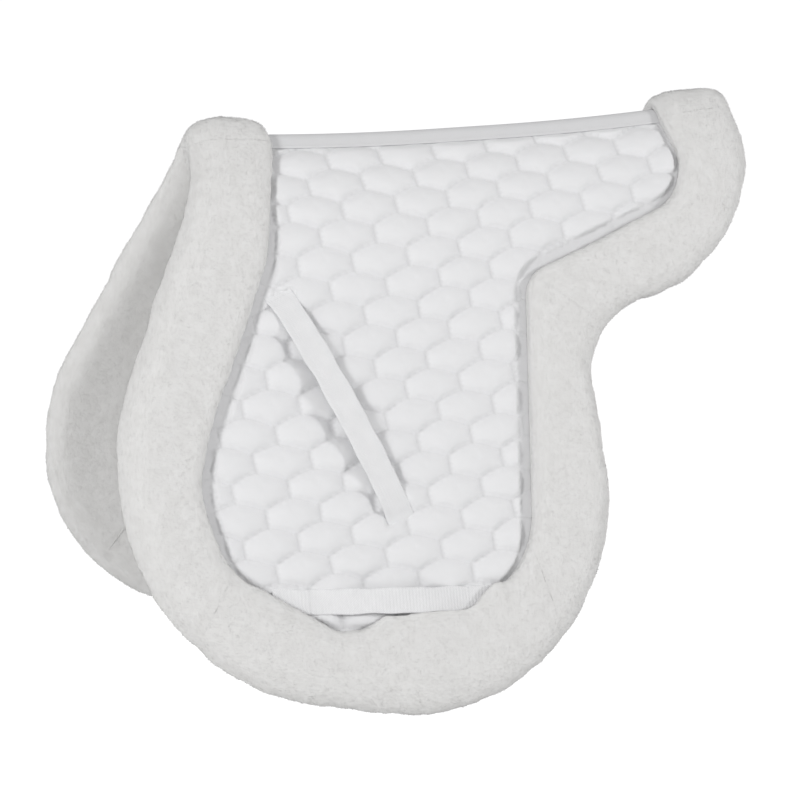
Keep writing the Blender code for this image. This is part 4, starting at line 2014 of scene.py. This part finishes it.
@dataclass
class Studio:
    """Pale floor, soft lamps and the camera where the photograph was taken from."""

    azimuth: float = -21.0
    elevation: float = 11.28
    roll: float = -1.53
    distance: float = 2.8
    focal: float = 2823.4
    picture: float = 800.0
    sensor: float = 36.0
    target: tuple = (-0.0761, 0.0, -0.2488)
    camera_reach: float = 200.0
    floor_drop: float = 0.42
    floor_half: float = 40.0
    floor_colour: tuple = (0.86, 0.86, 0.86, 1.0)
    floor_roughness: float = 0.9
    floor_glow: float = 0.65
    world_strength: float = 0.46
    lamp_size: float = 0.8
    lamp_distance: float = 5.0
    lamp_elevation: float = 20.0
    key_azimuth: float = 45.0
    key_power: float = 66.0
    fill_azimuth: float = -53.0
    fill_power: float = 93.0

    def add_camera(self) -> None:
        """Put the camera at the photograph's angle, with its small roll."""
        back = direction_to(self.azimuth, self.elevation)
        camera = bpy.data.cameras.new("camera")
        camera.sensor_width = self.sensor
        camera.lens = self.focal * self.sensor / self.picture
        camera.clip_end = self.camera_reach
        place = Vector(self.target) + back * self.distance
        bpy.context.scene.camera = set_up("camera", camera, place, back, self.roll)

    def add_lamp(self, name: str, azimuth: float, power: float) -> None:
        """Put a soft square lamp beside the camera, facing the pad.

        Args:
            name: Name of the lamp.
            azimuth: Angle round the pad, in degrees.
            power: Its power in watts.
        """
        back = direction_to(azimuth, self.lamp_elevation)
        light = bpy.data.lights.new(name, "AREA")
        light.size = self.lamp_size
        light.energy = power
        set_up(name, light, Vector(self.target) + back * self.lamp_distance, back)

    def add_floor(self) -> None:
        """Lay the pale floor, which the camera sees as white and which keeps a shadow."""
        z, half = cad_box[0].z - self.floor_drop, self.floor_half
        corners = np.array([(-half, -half, z), (half, -half, z), (half, half, z), (-half, half, z)])
        floor = make_object("floor", corners, [(0, 1, 2, 3)], smooth=False)
        finish, tree, inputs = new_finish("pale_floor", self.floor_roughness)
        inputs["Base Color"].default_value = self.floor_colour
        ray = add_node(tree, "ShaderNodeLightPath").outputs[0]
        glow = add_node(tree, "ShaderNodeEmission", {
            "Strength": math_node(tree, "MULTIPLY", ray, self.floor_glow),
        })
        shader = tree.nodes["Principled BSDF"]
        both = add_node(tree, "ShaderNodeAddShader", {0: shader.outputs[0], 1: glow.outputs[0]})
        tree.links.new(both.outputs[0], tree.nodes["Material Output"].inputs["Surface"])
        floor.data.materials.append(finish)

    def light_world(self) -> None:
        """Even light from all round, white where the camera looks straight at it."""
        world = bpy.data.worlds.new("studio")
        bpy.context.scene.world = world
        world.use_nodes = True
        tree = world.node_tree
        back = tree.nodes["Background"]
        back.inputs["Color"].default_value = (1, 1, 1, 1)
        ray = add_node(tree, "ShaderNodeLightPath").outputs[0]
        strength = math_node(tree, "MULTIPLY_ADD", ray, 1 - self.world_strength, self.world_strength)
        tree.links.new(strength, back.inputs["Strength"])

    def build(self) -> None:
        """Set up the whole studio."""
        self.add_camera()
        self.light_world()
        self.add_floor()
        self.add_lamp("key", self.key_azimuth, self.key_power)
        self.add_lamp("fill", self.fill_azimuth, self.fill_power)
        bpy.context.scene.view_settings.view_transform = "Standard"


def straps_of(pattern: Pattern, webbing: Finish) -> list[Strap]:
    """The two straps on a flap, by the corners of the window that they lie in.

    Args:
        pattern: The flap's pattern.
        webbing: Material of both straps.

    Returns:
        The billet strap and the girth loop.
    """
    first, last, drop = pattern.window_pommel_x, pattern.window_cantle_x, pattern.drop
    return [
        Strap(pattern, "billet_strap", (first - 21, 160.0), (first + 76, 391.0), sewn=12.0,
              width=28.0, bow=16.0, finish=webbing, curl=1.5, fullness=0.6, tuck=3.2),
        Strap(pattern, "girth_loop", (first - 64, drop - 159), (last - 245, drop - 146),
              sewn=38.0, width=24.0, bow=13.5, finish=webbing, rib=3.4, rib_height=0.4, step=0.5),
    ]


def main() -> None:
    """Dress the pad, piece by piece, and light it."""
    logging.basicConfig(level=logging.INFO, format="%(message)s")
    pattern = Pattern()
    pile = Pile()
    wool = Wool("white_sheepskin").build()
    # The quilting's cotton is 12% darker where the crease attribute is set: painted shade.
    cotton = Cotton("quilted_white_cotton", crease=0.12).build()
    filling = Cotton("white_wadding", roughness=0.95, thread=1.4).build()
    tape = Cotton("white_tape", colour=(0.74, 0.74, 0.75), thread=0.9, laid=True).build()
    webbing = Cotton("white_webbing", thread=2.2, bump=0.35, depth=0.12, laid=True).build()
    thread = Cotton("white_thread", colour=(0.78, 0.78, 0.79), thread=0.3).build()
    straps = straps_of(pattern, webbing)
    spine = Spine(pattern, tape, webbing)
    quilting = Quilting(pattern, straps).sheet()
    pieces = []
    for side in Side:
        edge = FleeceEdge(pattern, side, wool, pile)
        pieces += [edge.build(strip) for strip in Strip]
        panel = QuiltedPanel(pattern, side, quilting, cotton, filling, wool, pile)
        rows = panel.stitch_rows() + spine.stitch_rows(side)
        for strap in straps:
            rows += strap.stitch_rows(side)
        pieces.append(Stitching(thread).build(side, rows))
        pieces += [panel.build_face(), panel.build_filling(), panel.build_lining()]
        pieces += [strap.build(side) for strap in straps]
    for node, x, width, along in (
        ("pommel_fleece_cap", pattern.window_pommel_x, pattern.pommel_roll, -1),
        ("cantle_fleece_cap", pattern.window_cantle_x, pattern.cantle_roll, 1),
    ):
        cap = FleeceCap(pattern, node, x, width, along, wool, pile)
        pieces += [cap.build(side) for side in Side]
    pieces += spine.build()
    for piece in pieces:
        log.info("%s: %d faces", piece.name, len(piece.data.polygons))
    Studio().build()


if __name__ == "__main__":
    main()
